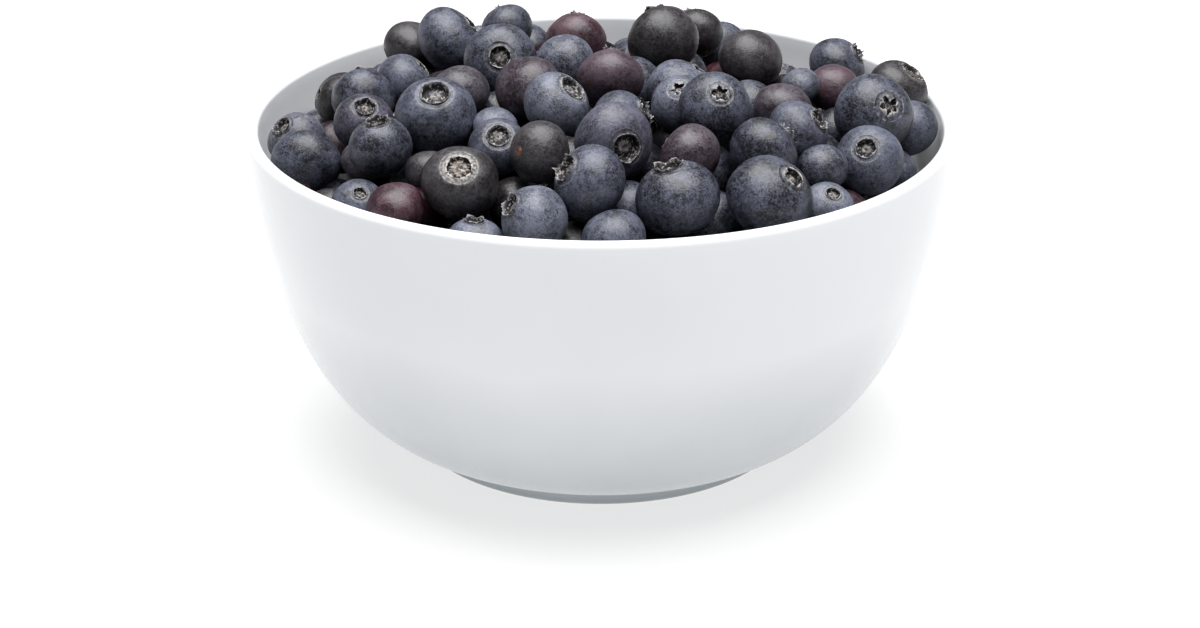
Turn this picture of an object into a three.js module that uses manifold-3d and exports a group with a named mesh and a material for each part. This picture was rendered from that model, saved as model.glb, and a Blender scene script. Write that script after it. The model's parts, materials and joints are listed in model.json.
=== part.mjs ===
// Bowl of blueberries: a plain white glazed bowl on a low foot ring, heaped with loose fresh berries.
// Millimetres, +Z up, origin at the middle of the foot ring's standing face.
import * as THREE from "three";
import { mergeVertices } from "three/addons/utils/BufferGeometryUtils.js";
import Module from "manifold-3d";

const { degToRad } = THREE.MathUtils;

// Bowl
const rimRadius = 75;
const bowlHeight = 72;
const wallThickness = 2.8;
const baseThickness = 4.2; // where the wall turns into the floor
const wallLean = degToRad(3.5); // of the wall at the rim, inward from upright
const wallHandle = 36; // how far the wall keeps that lean before it curves in
const footRadius = 41.4;
const footHeight = 3;
const footRingWidth = 5;
const footRecess = 1.6; // how far the base inside the ring is lifted off the table
const footEdge = 0.8; // rounding of the ring's outer edge
const undersideRise = degToRad(15.5); // of the body where it leaves the foot
const undersideHandle = 21;
const floorHeight = 5.3; // of the eating surface at the middle
const bowlSides = 48;
const wallSteps = 9;
const floorSteps = 3;
const rimSteps = 6;

// Heap: the berries' middles lie on a low dome of revolution
const heapRise = 10; // of the dome's top above the rim
const heapReach = 59; // from the axis to where the dome passes through the rim's plane
const heapPower = 2.8; // how flat the dome's top is
const coreDepth = 10; // of the solid core's top under the dome
const coreSides = 28;
const coreSteps = 5;
const seatSides = 4; // of the narrow rise of the core under a berry that touches nothing below it
const seatWidth = 0.55; // as a share of the berry's
const seatRoot = 2; // how deep a seat stands in the core
const joinVolume = 5; // least volume that a berry shares with what is below it where it has no seat
const contactGap = 0.5; // that every berry and the core keep to the bowl

// Berries: profiles as shares of a berry's radius, from the stem end to the crown, which is sunken on the
// berries whose crowns show
const crownedSides = 8;
const crownedProfile = [
  [0, -0.94],
  [0.82, -0.56],
  [1.01, 0.12],
  [0.44, 0.88],
  [0, 0.72],
];
const plainSides = 6;
const plainProfile = [
  [0, -0.94],
  [0.93, -0.42],
  [0.93, 0.38],
  [0, 0.86],
];

// The berries on top are placed as someone standing in front of the bowl sees them
const eyeDistance = 550; // from the middle of the rim
const eyeRise = degToRad(18.8); // of the eye above the rim's plane
const gazeTilt = degToRad(23.24); // of the gaze below level
const sightReach = 90; // how far before and behind the rim's middle a berry is looked for
const sightStep = 0.5;
const highPenalty = 0.3; // of a height over the dome, set against the same press on the wall

// Each berry on top: its middle across and up from the middle of the rim on the plane square to the gaze, its
// width, and where its crown shows in berry radii from its middle, on the far side where that is over 1.
// nearer is how far it stands before the dome, or behind it where that is negative.
const farBerries = [
  { across: -40.2, up: 14.0, width: 13.0, crown: [-0.5, -1.1], nearer: -4 },
  { across: -32.3, up: 15.5, width: 16.0, crown: [0.8, 0.55], nearer: 5 },
  { across: -20.0, up: 17.7, width: 12.5, crown: [-0.6, 1.05] },
  { across: -21.2, up: 11.1, width: 16.0, crown: [0, 0.05] },
  { across: -5.3, up: 15.3, width: 14.0, crown: [0.1, 1.1] },
  { across: -7.6, up: 10.9, width: 13.0, crown: [0.2, -1.2], nearer: -1 },
  { across: 13.2, up: 15.5, width: 16.0, crown: [-0.3, 1], nearer: 5 },
  { across: 20.1, up: 16.8, width: 13.0, crown: [-0.4, 1], nearer: -5 },
  { across: 31.8, up: 11.5, width: 14.5, crown: [-0.3, -1.1] },
  { across: 50.1, up: 10.0, width: 13.5, crown: [0.78, 0.5], nearer: -4 },
  { across: 63.0, up: 5.1, width: 14.0, crown: [0.6, 0.7], nearer: -3 },
];
const leftBerries = [
  { across: -55.9, up: 2.8, width: 10.5, crown: [-0.9, 0.3], nearer: -2 },
  { across: -50.4, up: 3.2, width: 13.5, crown: [0, 1.05] },
  { across: -41.7, up: 6.8, width: 12.5, crown: [0.75, 0.6] },
  { across: -64.5, up: -5.7, width: 12.5, crown: [-0.5, 0.5] },
  { across: -62.5, up: -10.4, width: 14.5, crown: [0, 1.3] },
  { across: -50.4, up: -1.9, width: 12.5, crown: [0.15, 0.55] },
  { across: -46.8, up: -7.0, width: 13.0, crown: [-0.1, 0.86] },
  { across: -50.0, up: -9.8, width: 10.0, crown: [0, -1.2], nearer: -9 },
  { across: -34.9, up: -0.4, width: 17.0, crown: [0, 0.6] },
];
const middleBerries = [
  { across: -29.8, up: 4.5, width: 12.5, crown: [-0.1, -1.2] },
  { across: -15.3, up: 5.3, width: 14.5, crown: [0.4, -1.2] },
  { across: 2.0, up: 7.2, width: 14.5, crown: [0.1, 1.05] },
  { across: 17.1, up: 4.0, width: 16.0, crown: [0.6, 0.76], nearer: -6 },
  { across: 16.9, up: 2.1, width: 12.5, crown: [-0.1, 0.5], nearer: -5 },
  { across: 24.3, up: 1.3, width: 15.0, crown: [0.12, 0.38], nearer: 3 },
  { across: -22.3, up: -3.0, width: 9.5, crown: [-0.3, -1.2], nearer: -4 },
  { across: -9.5, up: 1.7, width: 14.5, crown: [0.62, 0.6] },
  { across: 4.3, up: -1.9, width: 13.5, crown: [0.85, 0.45], nearer: -3 },
  { across: 2.8, up: -6.0, width: 16.0, crown: [0.38, -0.25] },
];
const rightBerries = [
  { across: 42.4, up: 6.0, width: 8.5, crown: [0, -1.2], nearer: -5 },
  { across: 49.2, up: 5.5, width: 11.5, crown: [0, -1.2] },
  { across: 57.9, up: 0.0, width: 17.0, crown: [0.4, 0.17], nearer: 4 },
  { across: 66.2, up: -3.2, width: 13.0, crown: [0.6, -1.1], nearer: -7 },
  { across: 38.6, up: 0.9, width: 12.5, crown: [-0.3, -1.1] },
  { across: 41.8, up: -4.0, width: 13.5, crown: [0.75, 0.45] },
  { across: 34.5, up: -8.3, width: 14.5, crown: [0.8, 0.65] },
  { across: 47.1, up: -11.7, width: 10.5, crown: [0, -1.2], nearer: -3 },
  { across: 56.9, up: -10.0, width: 14.5, crown: [-0.2, 0.37] },
  { across: 62.2, up: -12.3, width: 10.0, crown: [0, -1.2] },
];
const nearBerries = [
  { across: -51.5, up: -19.6, width: 11.0, crown: [0.15, 0.5] },
  { across: -43.6, up: -20.6, width: 12.0, crown: [0.4, -1.2] },
  { across: -36.4, up: -12.6, width: 10.0, crown: [0, -1.2], nearer: -5 },
  { across: -29.8, up: -14.7, width: 15.5, crown: [0, 0.48] },
  { across: -21.7, up: -7.2, width: 12.5, crown: [0.03, 0.42] },
  { across: -12.9, up: -8.3, width: 13.0, crown: [2.5, -0.1] },
  { across: -2.3, up: -14.7, width: 15.5, crown: [-0.75, 0.42] },
  { across: 18.8, up: -9.4, width: 14.0, crown: [-0.9, 0.5] },
  { across: 16.2, up: -18.1, width: 16.5, crown: [-0.25, 0.9] },
  { across: 35.8, up: -17.9, width: 17.5, crown: [0.6, 0.53] },
  { across: 48.1, up: -19.8, width: 10.5, crown: [0.2, 0.6] },
  { across: -26.8, up: -27.7, width: 11.5, crown: [0, 0.95] },
  { across: -14.2, up: -22.6, width: 13.5, crown: [-0.74, 0.45] },
  { across: 2.6, up: -26.8, width: 13.0, crown: [0.5, -1], nearer: 3 },
];

// Berries between, behind and below those: drawn at random, largest first. Each sinks from least to most, in
// millimetres, until it has room and hides behind the ones in front. crowding is the least share of two
// berries' radii between their middles.
const fillSeed = 20;
const fillSmallest = 5.6;
const upperLayer = { tries: 1500, largest: 8.2, least: 0, most: 9, crowding: 0.86 };
const lowerLayer = { tries: 1500, largest: 7.2, least: 7, most: 12, crowding: 0.8 };
const fillCover = 0.5; // share of the smaller berry's radius that a drawn berry may cover of a placed one
const fillFarSide = -5; // behind this, no edge point of a drawn berry shows
const fillShowing = 3; // edge points that may show before it
const edgeShares = [
  [0, 0.95],
  [0.7, 0.65],
  [-0.7, 0.65],
  [0, 0.3],
  [0.9, 0.2],
  [-0.9, 0.2],
]; // edge points across and up from a berry's middle, as shares of its radius

// Settling: berries that cross are pushed apart
const settleTouch = 0.985; // share of two berries' radii at which they touch
const firstSteps = 120;
const lastSteps = 60;
const holdSeen = 0.02; // share of its way back that a placed berry takes in a step
const holdFill = 0.1;
const yieldSeen = 0.1; // share of a push that a placed berry takes from a drawn one

// Repeatable draws: each state is the last one times the factor plus the step, within the range
const drawFactor = 1664525;
const drawStep = 1013904223;
const drawRange = 4294967296;

// Colours
const glazeWhite = 0xf1f2f2;
const berryBlue = 0x414b63;

const eye = new THREE.Vector3(
  0,
  -eyeDistance * Math.cos(eyeRise),
  bowlHeight + eyeDistance * Math.sin(eyeRise),
);
const gaze = new THREE.Vector3(0, Math.cos(gazeTilt), -Math.sin(gazeTilt));
const gazeUp = new THREE.Vector3(0, Math.sin(gazeTilt), Math.cos(gazeTilt));

// Outer wall from the rim's rounding down to the foot
function wallCurve() {
  const lip = wallThickness / 2;
  const start = new THREE.Vector2(
    rimRadius - lip + lip * Math.cos(wallLean),
    bowlHeight - lip - lip * Math.sin(wallLean),
  );
  const end = new THREE.Vector2(footRadius, footHeight);
  const down = new THREE.Vector2(-Math.sin(wallLean), -Math.cos(wallLean));
  const outward = new THREE.Vector2(Math.cos(undersideRise), Math.sin(undersideRise));
  return new THREE.CubicBezierCurve(
    start,
    start.clone().addScaledVector(down, wallHandle),
    end.clone().addScaledVector(outward, undersideHandle),
    end,
  );
}

const outerWall = wallCurve();

// Points of a surface inside the outer wall, from the rim down: the wall's own thickness in, and extra more
function innerPoints(extra) {
  const points = [];
  for (let i = 0; i <= wallSteps; i++) {
    const t = i / wallSteps;
    const along = outerWall.getTangent(t);
    const thickness = wallThickness + (baseThickness - wallThickness) * t * t + extra;
    const inward = new THREE.Vector2(along.y, -along.x);
    points.push(outerWall.getPoint(t).addScaledVector(inward, thickness));
  }
  return points;
}

// Points of the floor from the foot of the inner wall to the axis, raised by extra
function floorPoints(wallEnd, extra) {
  const height = floorHeight + extra;
  const bend = new THREE.Vector2(wallEnd.x - (wallEnd.y - height) / Math.tan(undersideRise), height);
  const floor = new THREE.QuadraticBezierCurve(wallEnd, bend, new THREE.Vector2(0, height));
  return floor.getPoints(floorSteps).slice(1);
}

const innerWall = innerPoints(0);

// Bowl: foot ring, outer wall, rounded rim, inner wall and floor turned round the axis
function bowlGeometry() {
  const ringInside = footRadius - footRingWidth;
  const lip = wallThickness / 2;
  const foot = [
    new THREE.Vector2(0, footRecess),
    new THREE.Vector2(ringInside - footEdge, footRecess),
    new THREE.Vector2(ringInside, 0),
    new THREE.Vector2(footRadius - footEdge, 0),
    new THREE.Vector2(footRadius - footEdge * 0.3, footEdge * 0.3),
    new THREE.Vector2(footRadius, footEdge),
  ];
  const wall = outerWall.getPoints(wallSteps).reverse();
  const rim = new THREE.EllipseCurve(
    rimRadius - lip,
    bowlHeight - lip,
    lip,
    lip,
    -wallLean,
    Math.PI - wallLean,
  );
  const lipPoints = rim.getPoints(rimSteps).slice(1, -1);
  const profile = [...foot, ...wall, ...lipPoints, ...innerWall, ...floorPoints(innerWall.at(-1), 0)];
  return new THREE.LatheGeometry(profile, bowlSides);
}

// Height of the dome that the berries' middles lie on
function domeHeight(radius) {
  return bowlHeight + heapRise * (1 - (radius / heapReach) ** heapPower);
}

// Distance from a point to the bowl's inner wall, negative outside it
function wallClearance(radius, height) {
  let nearest = Infinity;
  let side = 1;
  for (let i = 1; i < innerWall.length; i++) {
    const from = innerWall[i - 1];
    const ex = innerWall[i].x - from.x;
    const ey = innerWall[i].y - from.y;
    const px = radius - from.x;
    const py = height - from.y;
    const share = Math.min(1, Math.max(0, (px * ex + py * ey) / (ex * ex + ey * ey)));
    const distance = Math.hypot(px - share * ex, py - share * ey);
    if (distance < nearest) {
      nearest = distance;
      side = px * ey - py * ex > 0 ? 1 : -1;
    }
  }
  return nearest * side;
}

// How far a berry presses into the wall or the gap before it, and nothing or less where it is clear
function pressed(berry) {
  const radius = Math.hypot(berry.middle.x, berry.middle.y);
  return berry.radius + contactGap - wallClearance(radius, berry.middle.z);
}

// Where a berry shows from the eye: across and up in radians of view, and its distance along the gaze
function seen(point) {
  const away = point.clone().sub(eye);
  const depth = away.dot(gaze);
  return { across: away.x / depth, up: away.dot(gazeUp) / depth, depth };
}

function moveAlongSight(berry, reach) {
  berry.reach = reach;
  berry.middle.copy(eye).addScaledVector(berry.sight, reach);
}

// Sets a placed berry where its line of sight first meets the dome inside the wall, or comes nearest to that
function placeOnSight({ across, up, width, crown, nearer = 0 }) {
  const target = new THREE.Vector3(across, 0, bowlHeight).addScaledVector(gazeUp, up);
  const berry = {
    sight: target.sub(eye).normalize(),
    middle: new THREE.Vector3(),
    radius: width / 2,
    crown: crownOnSight(crown),
    placed: true,
  };
  let best = Infinity;
  let bestReach = eyeDistance;
  for (let reach = eyeDistance - sightReach; reach < eyeDistance + sightReach; reach += sightStep) {
    moveAlongSight(berry, reach);
    const radius = Math.hypot(berry.middle.x, berry.middle.y);
    const over = Math.max(0, berry.middle.z - domeHeight(radius));
    const miss = Math.max(0, pressed(berry)) + highPenalty * over;
    if (miss < best) {
      best = miss;
      bestReach = reach;
    }
    if (miss === 0) break;
  }
  berry.home = bestReach - nearer;
  moveAlongSight(berry, berry.home);
  return berry;
}

// Direction of a crown that shows across and up from a berry's middle
function crownOnSight([across, up]) {
  const toward = 1 - across * across - up * up;
  const depth = Math.sign(toward) * Math.sqrt(Math.abs(toward));
  return new THREE.Vector3(across, 0, 0)
    .addScaledVector(gazeUp, up)
    .addScaledVector(gaze, -depth)
    .normalize();
}

// Whether the bowl's front rim hides all of a berry from the eye
function behindRim(berry) {
  const { x, y, z } = berry.middle;
  const dx = x - eye.x;
  const dy = y - eye.y;
  const square = dx * dx + dy * dy;
  const half = -eye.y * dy;
  const root = half * half - square * (eye.y * eye.y - rimRadius * rimRadius);
  const share = (half - Math.sqrt(Math.max(0, root))) / square;
  const rim = new THREE.Vector3(share * dx, eye.y + share * dy, bowlHeight);
  return seen(rim).up > seen(new THREE.Vector3(x, y, z + berry.radius)).up;
}

// Whether a drawn berry would stand before a placed one, or show over those before it
function spoilsView(berry, berries) {
  if (behindRim(berry)) return false;
  const placed = berries.filter((other) => other.placed);
  const spot = seen(berry.middle);
  const size = berry.radius / spot.depth;
  for (const other of placed) {
    const otherSpot = seen(other.middle);
    const otherSize = other.radius / otherSpot.depth;
    const apart = Math.hypot(spot.across - otherSpot.across, spot.up - otherSpot.up);
    const reach = size + otherSize - fillCover * Math.min(size, otherSize);
    if (spot.depth < otherSpot.depth + 1 && apart < reach) return true;
  }
  const shows = edgePoints(berry).filter((point) => !hidden(seen(point), placed)).length;
  return shows > (berry.middle.y > fillFarSide ? 0 : fillShowing);
}

// Points over the upper edge of a berry
function edgePoints(berry) {
  return edgeShares.map(([x, z]) => {
    const offset = new THREE.Vector3(x, 0, z).multiplyScalar(berry.radius);
    return offset.add(berry.middle);
  });
}

function hidden(spot, placed) {
  return placed.some((other) => {
    const otherSpot = seen(other.middle);
    const apart = Math.hypot(spot.across - otherSpot.across, spot.up - otherSpot.up);
    return otherSpot.depth < spot.depth && apart < other.radius / otherSpot.depth;
  });
}

// Draws from 0 to 1
function drawsFrom(seed) {
  let state = seed;
  return () => {
    state = (state * drawFactor + drawStep) % drawRange;
    return state / drawRange;
  };
}

// Drops berries on the dome wherever there is room, each no higher than the ones before it hide
function fillHeap(berries, draw, { tries, largest, least, most, crowding }) {
  for (let i = 0; i < tries; i++) {
    const size = (1 - i / tries) * (0.5 + 0.5 * draw());
    const berryRadius = fillSmallest + (largest - fillSmallest) * size;
    const radius = rimRadius * Math.sqrt(draw());
    const angle = 2 * Math.PI * draw();
    for (let sink = least; sink <= most; sink++) {
      const height = domeHeight(radius) - sink;
      const middle = new THREE.Vector3(radius * Math.cos(angle), radius * Math.sin(angle), height);
      const berry = { middle, radius: berryRadius, sink, placed: false };
      if (pressed(berry) > 0 || crowded(berry, berries, crowding) || spoilsView(berry, berries)) continue;
      berries.push(berry);
      break;
    }
  }
}

function crowded(berry, berries, share) {
  return berries.some((other) => {
    const least = (berry.radius + other.radius) * share;
    return berry.middle.distanceToSquared(other.middle) < least * least;
  });
}

// Pushes crossing berries apart: placed ones slide along their sight lines, drawn ones move freely
function settle(berries, steps) {
  for (let step = 0; step < steps; step++) {
    const pushes = berries.map(() => new THREE.Vector3());
    for (let i = 0; i < berries.length; i++) {
      for (let j = i + 1; j < berries.length; j++) pushApart(berries[i], berries[j], pushes[i], pushes[j]);
    }
    berries.forEach((berry, i) => (berry.placed ? slideAlongSight : moveFreely)(berry, pushes[i]));
  }
}

function pushApart(first, second, firstPush, secondPush) {
  const touch = (first.radius + second.radius) * settleTouch;
  const between = second.middle.clone().sub(first.middle);
  const distance = between.length();
  if (distance >= touch) return;
  let firstShare = 0.5;
  if (first.placed !== second.placed) firstShare = first.placed ? yieldSeen : 1 - yieldSeen;
  between.multiplyScalar((touch - distance) / distance);
  firstPush.addScaledVector(between, -firstShare);
  secondPush.addScaledVector(between, 1 - firstShare);
}

function slideAlongSight(berry, push) {
  const reach = berry.reach + push.dot(berry.sight) + (berry.home - berry.reach) * holdSeen;
  moveAlongSight(berry, reach);
  const over = pressed(berry);
  if (over > 0) moveAlongSight(berry, reach + (berry.middle.y < 0 ? over : -over));
}

function moveFreely(berry, push) {
  berry.middle.add(push);
  const radius = Math.hypot(berry.middle.x, berry.middle.y);
  berry.middle.z += (domeHeight(radius) - berry.sink - berry.middle.z) * holdFill;
  tuckIn(berry);
}

// Moves a berry that presses on the wall straight towards the axis
function tuckIn(berry) {
  const over = Math.max(0, pressed(berry));
  const share = 1 - over / Math.hypot(berry.middle.x, berry.middle.y);
  berry.middle.x *= share;
  berry.middle.y *= share;
}

// All berries of the heap's surface, and those that show between them
function heapBerries() {
  const rows = [...farBerries, ...leftBerries, ...middleBerries, ...rightBerries, ...nearBerries];
  const berries = rows.map(placeOnSight);
  settle(berries, firstSteps);
  const draw = drawsFrom(fillSeed);
  fillHeap(berries, draw, upperLayer);
  settle(berries, lastSteps);
  berries.forEach(tuckIn);
  turnCrowns(berries, draw);
  fillHeap(berries, draw, lowerLayer);
  turnCrowns(berries, draw);
  return berries;
}

// Gives every berry without a crown's direction a drawn one
function turnCrowns(berries, draw) {
  for (const berry of berries) berry.crown ??= anyDirection(draw);
}

function anyDirection(draw) {
  const height = 2 * draw() - 1;
  const angle = 2 * Math.PI * draw();
  const radius = Math.sqrt(1 - height * height);
  return new THREE.Vector3(radius * Math.cos(angle), radius * Math.sin(angle), height);
}

// Wall of the core, up to where its top begins
const coreWall = innerPoints(contactGap).filter((point) => point.y < coreHeight(point.x));

function coreHeight(radius) {
  return domeHeight(radius) - coreDepth;
}

// Core under the berries, filling the bowl's inside
function coreGeometry() {
  const top = [];
  for (let i = 0; i <= coreSteps; i++) {
    const radius = coreWall[0].x * Math.sqrt(1 - i / coreSteps);
    top.push(new THREE.Vector2(radius, coreHeight(radius)));
  }
  const floor = floorPoints(coreWall.at(-1), contactGap);
  const profile = [...floor.reverse(), ...coreWall.toReversed(), ...top];
  return upright(new THREE.LatheGeometry(profile, coreSides));
}

// Rise of the core up to a berry's middle
function seatGeometry(berry) {
  const { x, y, z } = berry.middle;
  const bottom = coreHeight(Math.hypot(x, y)) - seatRoot;
  const radius = berry.radius * seatWidth;
  const seat = upright(new THREE.CylinderGeometry(radius, radius, z - bottom, seatSides));
  return seat.translate(x, y, (z + bottom) / 2);
}

// One berry with few sides, its crown turned to its own direction
function berryGeometry(berry) {
  const shares = berry.placed ? crownedProfile : plainProfile;
  const sides = berry.placed ? crownedSides : plainSides;
  const profile = shares.map(([x, y]) => new THREE.Vector2(x * berry.radius, y * berry.radius));
  const turn = new THREE.Quaternion().setFromUnitVectors(new THREE.Vector3(0, 1, 0), berry.crown);
  const geometry = new THREE.LatheGeometry(profile, sides).applyQuaternion(turn);
  return geometry.translate(berry.middle.x, berry.middle.y, berry.middle.z);
}

// Lathes turn round Y, and the bowl and the core stand on Z
function upright(geometry) {
  return geometry.rotateX(Math.PI / 2);
}

const wasm = await Module();
wasm.setup();

function toSolid(geometry) {
  geometry.deleteAttribute("normal");
  geometry.deleteAttribute("uv");
  const merged = mergeVertices(geometry);
  return new wasm.Manifold(
    new wasm.Mesh({
      numProp: 3,
      vertProperties: merged.attributes.position.array,
      triVerts: new Uint32Array(merged.index.array),
    }),
  );
}

function toGeometry(solid) {
  const mesh = solid.getMesh();
  const geometry = new THREE.BufferGeometry();
  geometry.setAttribute("position", new THREE.BufferAttribute(mesh.vertProperties, 3));
  geometry.setIndex(new THREE.BufferAttribute(mesh.triVerts, 1));
  geometry.computeVertexNormals();
  return geometry;
}

// Heap: core and berries joined from the lowest up, without the hollows shut in between them
function heapGeometry() {
  let heap = toSolid(coreGeometry());
  for (const berry of heapBerries().sort((first, second) => first.middle.z - second.middle.z)) {
    const solid = toSolid(berryGeometry(berry));
    if (heap.intersect(solid).volume() < joinVolume) heap = heap.add(toSolid(seatGeometry(berry)));
    heap = heap.add(solid);
  }
  const bodies = heap.decompose();
  const whole = bodies.reduce((largest, body) => (body.volume() > largest.volume() ? body : largest));
  return toGeometry(whole);
}

function namedMesh(name, geometry, settings) {
  const mesh = new THREE.Mesh(geometry, new THREE.MeshStandardMaterial({ metalness: 0, ...settings }));
  mesh.name = name;
  return mesh;
}

const bowlOfBlueberries = new THREE.Group();
bowlOfBlueberries.add(namedMesh("bowl", upright(bowlGeometry()), { color: glazeWhite, roughness: 0.18 }));
bowlOfBlueberries.add(namedMesh("berry_heap", heapGeometry(), { color: berryBlue, roughness: 0.55 }));

export default bowlOfBlueberries;
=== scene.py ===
"""Looks of a bowl of blueberries: a white glazed bowl on a low foot ring, heaped with loose fresh berries.

Sizes are in millimetres and angles in radians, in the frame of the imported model. Meshes are written in
metres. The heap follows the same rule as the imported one: the berries on top stand where they show from the
front, and those between and behind them are drawn at random, from a fixed seed.
"""

import json
import logging
import math
from dataclasses import dataclass, field
from enum import Enum
from typing import Any

import bpy
import numpy as np
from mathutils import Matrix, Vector, noise

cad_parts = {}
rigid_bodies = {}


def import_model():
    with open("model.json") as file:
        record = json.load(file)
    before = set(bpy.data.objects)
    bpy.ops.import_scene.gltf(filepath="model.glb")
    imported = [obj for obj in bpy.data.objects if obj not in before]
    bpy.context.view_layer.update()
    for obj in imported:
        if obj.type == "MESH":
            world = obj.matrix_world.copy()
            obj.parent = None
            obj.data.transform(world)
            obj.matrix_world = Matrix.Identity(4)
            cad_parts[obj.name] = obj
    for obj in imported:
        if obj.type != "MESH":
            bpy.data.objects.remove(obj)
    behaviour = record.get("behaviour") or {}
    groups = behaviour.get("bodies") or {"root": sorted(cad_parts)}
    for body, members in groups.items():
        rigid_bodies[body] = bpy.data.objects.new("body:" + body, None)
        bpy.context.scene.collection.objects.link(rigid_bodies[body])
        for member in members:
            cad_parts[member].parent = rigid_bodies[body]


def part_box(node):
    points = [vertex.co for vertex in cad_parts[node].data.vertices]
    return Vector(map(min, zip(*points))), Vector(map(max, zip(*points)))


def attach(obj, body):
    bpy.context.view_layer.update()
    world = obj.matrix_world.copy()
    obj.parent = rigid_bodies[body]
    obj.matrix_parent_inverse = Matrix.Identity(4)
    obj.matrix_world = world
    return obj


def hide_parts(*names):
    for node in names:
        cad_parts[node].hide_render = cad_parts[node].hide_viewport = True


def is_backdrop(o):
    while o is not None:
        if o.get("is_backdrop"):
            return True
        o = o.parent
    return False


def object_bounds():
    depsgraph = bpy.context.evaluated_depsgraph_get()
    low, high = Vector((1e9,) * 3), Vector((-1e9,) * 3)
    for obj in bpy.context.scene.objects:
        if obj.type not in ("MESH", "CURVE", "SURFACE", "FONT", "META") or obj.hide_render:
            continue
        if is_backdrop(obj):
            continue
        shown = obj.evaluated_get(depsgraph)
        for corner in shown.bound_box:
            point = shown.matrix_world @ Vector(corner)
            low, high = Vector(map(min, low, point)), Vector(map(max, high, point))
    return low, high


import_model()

METRES = 0.001
FULL_TURN = 2 * math.pi
HALF = 0.5
SAME_POINT = 1e-6  # metres
BODY = "root"

Array = np.ndarray
Colour = tuple[float, float, float]
Settings = dict[str, Any]
Inputs = dict[str | int, Any]
NONE: Inputs = {}

log = logging.getLogger("bowl_of_blueberries")


# Node trees


class Value:
    """A node socket that takes part in Python expressions: each operator adds one Math node."""

    def __init__(self, tree: "Tree", socket: bpy.types.NodeSocket) -> None:
        """Wraps an output socket that carries a number."""
        self.tree = tree
        self.socket = socket

    def math(self, operation: str, *values: "Value | float") -> "Value":
        """Adds a Math node on this value and those that follow it in the node's inputs."""
        inputs = dict(enumerate((self, *values)))
        return self.tree.value("ShaderNodeMath", {"operation": operation}, inputs)

    def clamped(self) -> "Value":
        """This value, held between 0 and 1."""
        return self.math("ADD", 0.0).limited()

    def limited(self) -> "Value":
        """Sets the Clamp switch on the node that gives this value."""
        self.socket.node.use_clamp = True
        return self

    def between(self, low: float, high: float) -> "Value":
        """How far this value is on its way from low to high, held between 0 and 1."""
        return ((self - low) / (high - low)).limited()

    def __add__(self, other: "Value | float") -> "Value":
        """This value plus the other."""
        return self.math("ADD", other)

    __radd__ = __add__

    def __sub__(self, other: "Value | float") -> "Value":
        """This value less the other."""
        return self.math("SUBTRACT", other)

    def __rsub__(self, other: float) -> "Value":
        """The other less this value."""
        return (self * -1.0).math("ADD", other)

    def __mul__(self, other: "Value | float") -> "Value":
        """This value times the other."""
        return self.math("MULTIPLY", other)

    __rmul__ = __mul__

    def __truediv__(self, other: "Value | float") -> "Value":
        """This value over the other."""
        return self.math("DIVIDE", other)

    def __mod__(self, other: "Value | float") -> "Value":
        """What is left of this value over the other."""
        return self.math("MODULO", other)


class Tree:
    """A node tree in the making."""

    def __init__(self, nodes: bpy.types.NodeTree) -> None:
        """Empties a material's, world's or geometry tree and holds it."""
        self.nodes = nodes
        nodes.nodes.clear()

    def node(self, kind: str, settings: Settings = NONE, inputs: Inputs = NONE) -> bpy.types.Node:
        """Adds a node of any type.

        Args:
            kind: the node's type name.
            settings: its properties, which are set first.
            inputs: a number, colour or link for each socket, by name or place.

        Returns:
            The node.
        """
        made = self.nodes.nodes.new(kind)
        for name, setting in settings.items():
            setattr(made, name, setting)
        for name, given in inputs.items():
            socket = made.inputs[name]
            if isinstance(given, Value):
                given = given.socket
            if isinstance(given, bpy.types.NodeSocket):
                self.nodes.links.new(given, socket)
            else:
                socket.default_value = given
        return made

    def out(self, kind: str, settings: Settings = NONE, inputs: Inputs = NONE) -> bpy.types.NodeSocket:
        """Adds a node and gives its first output."""
        return self.node(kind, settings, inputs).outputs[0]

    def value(self, kind: str, settings: Settings = NONE, inputs: Inputs = NONE) -> Value:
        """Adds a node and gives its first output as a value."""
        return Value(self, self.out(kind, settings, inputs))

    def vector(self, x: Any, y: Any, z: Any) -> bpy.types.NodeSocket:
        """A vector of three numbers."""
        return self.out("ShaderNodeCombineXYZ", inputs={0: x, 1: y, 2: z})

    def parts(self, vector: bpy.types.NodeSocket) -> tuple[Value, Value, Value]:
        """The three numbers of a vector."""
        split = self.node("ShaderNodeSeparateXYZ", inputs={0: vector})
        return tuple(Value(self, output) for output in split.outputs)


class Finish(Tree):
    """A material's tree in the making."""

    def __init__(self, name: str) -> None:
        """Starts a material of that name."""
        self.material = bpy.data.materials.new(name)
        self.material.use_nodes = True
        super().__init__(self.material.node_tree)

    def mixed(self, share: Value | float, first: Any, second: Any) -> bpy.types.NodeSocket:
        """Mixes two colours, of which share is how much of the second there is."""
        inputs = {0: share, 6: opaque(first), 7: opaque(second)}
        return self.node("ShaderNodeMix", {"data_type": "RGBA", "clamp_factor": True}, inputs).outputs[2]

    def noise(self, place: bpy.types.NodeSocket, scale: float, detail: float) -> Value:
        """A noise of that scale, mostly from 0.3 to 0.7, with detail finer ones laid over it."""
        return self.value("ShaderNodeTexNoise", inputs={"Vector": place, "Scale": scale, "Detail": detail})

    def bump(self, relief: Value, strength: float, height: float) -> bpy.types.NodeSocket:
        """A normal raised by a relief, by up to height in metres."""
        inputs = {"Strength": strength, "Distance": height, "Height": relief}
        return self.out("ShaderNodeBump", inputs=inputs)

    def close(self, inputs: Inputs) -> bpy.types.Material:
        """Leads the inputs to a Principled shader and gives the material."""
        shader = self.out("ShaderNodeBsdfPrincipled", inputs=inputs)
        self.node("ShaderNodeOutputMaterial", inputs={"Surface": shader})
        return self.material


def opaque(colour: Any) -> Any:
    """A colour with its alpha, or the socket as it is."""
    return (*colour, 1.0) if isinstance(colour, tuple) else colour


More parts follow.
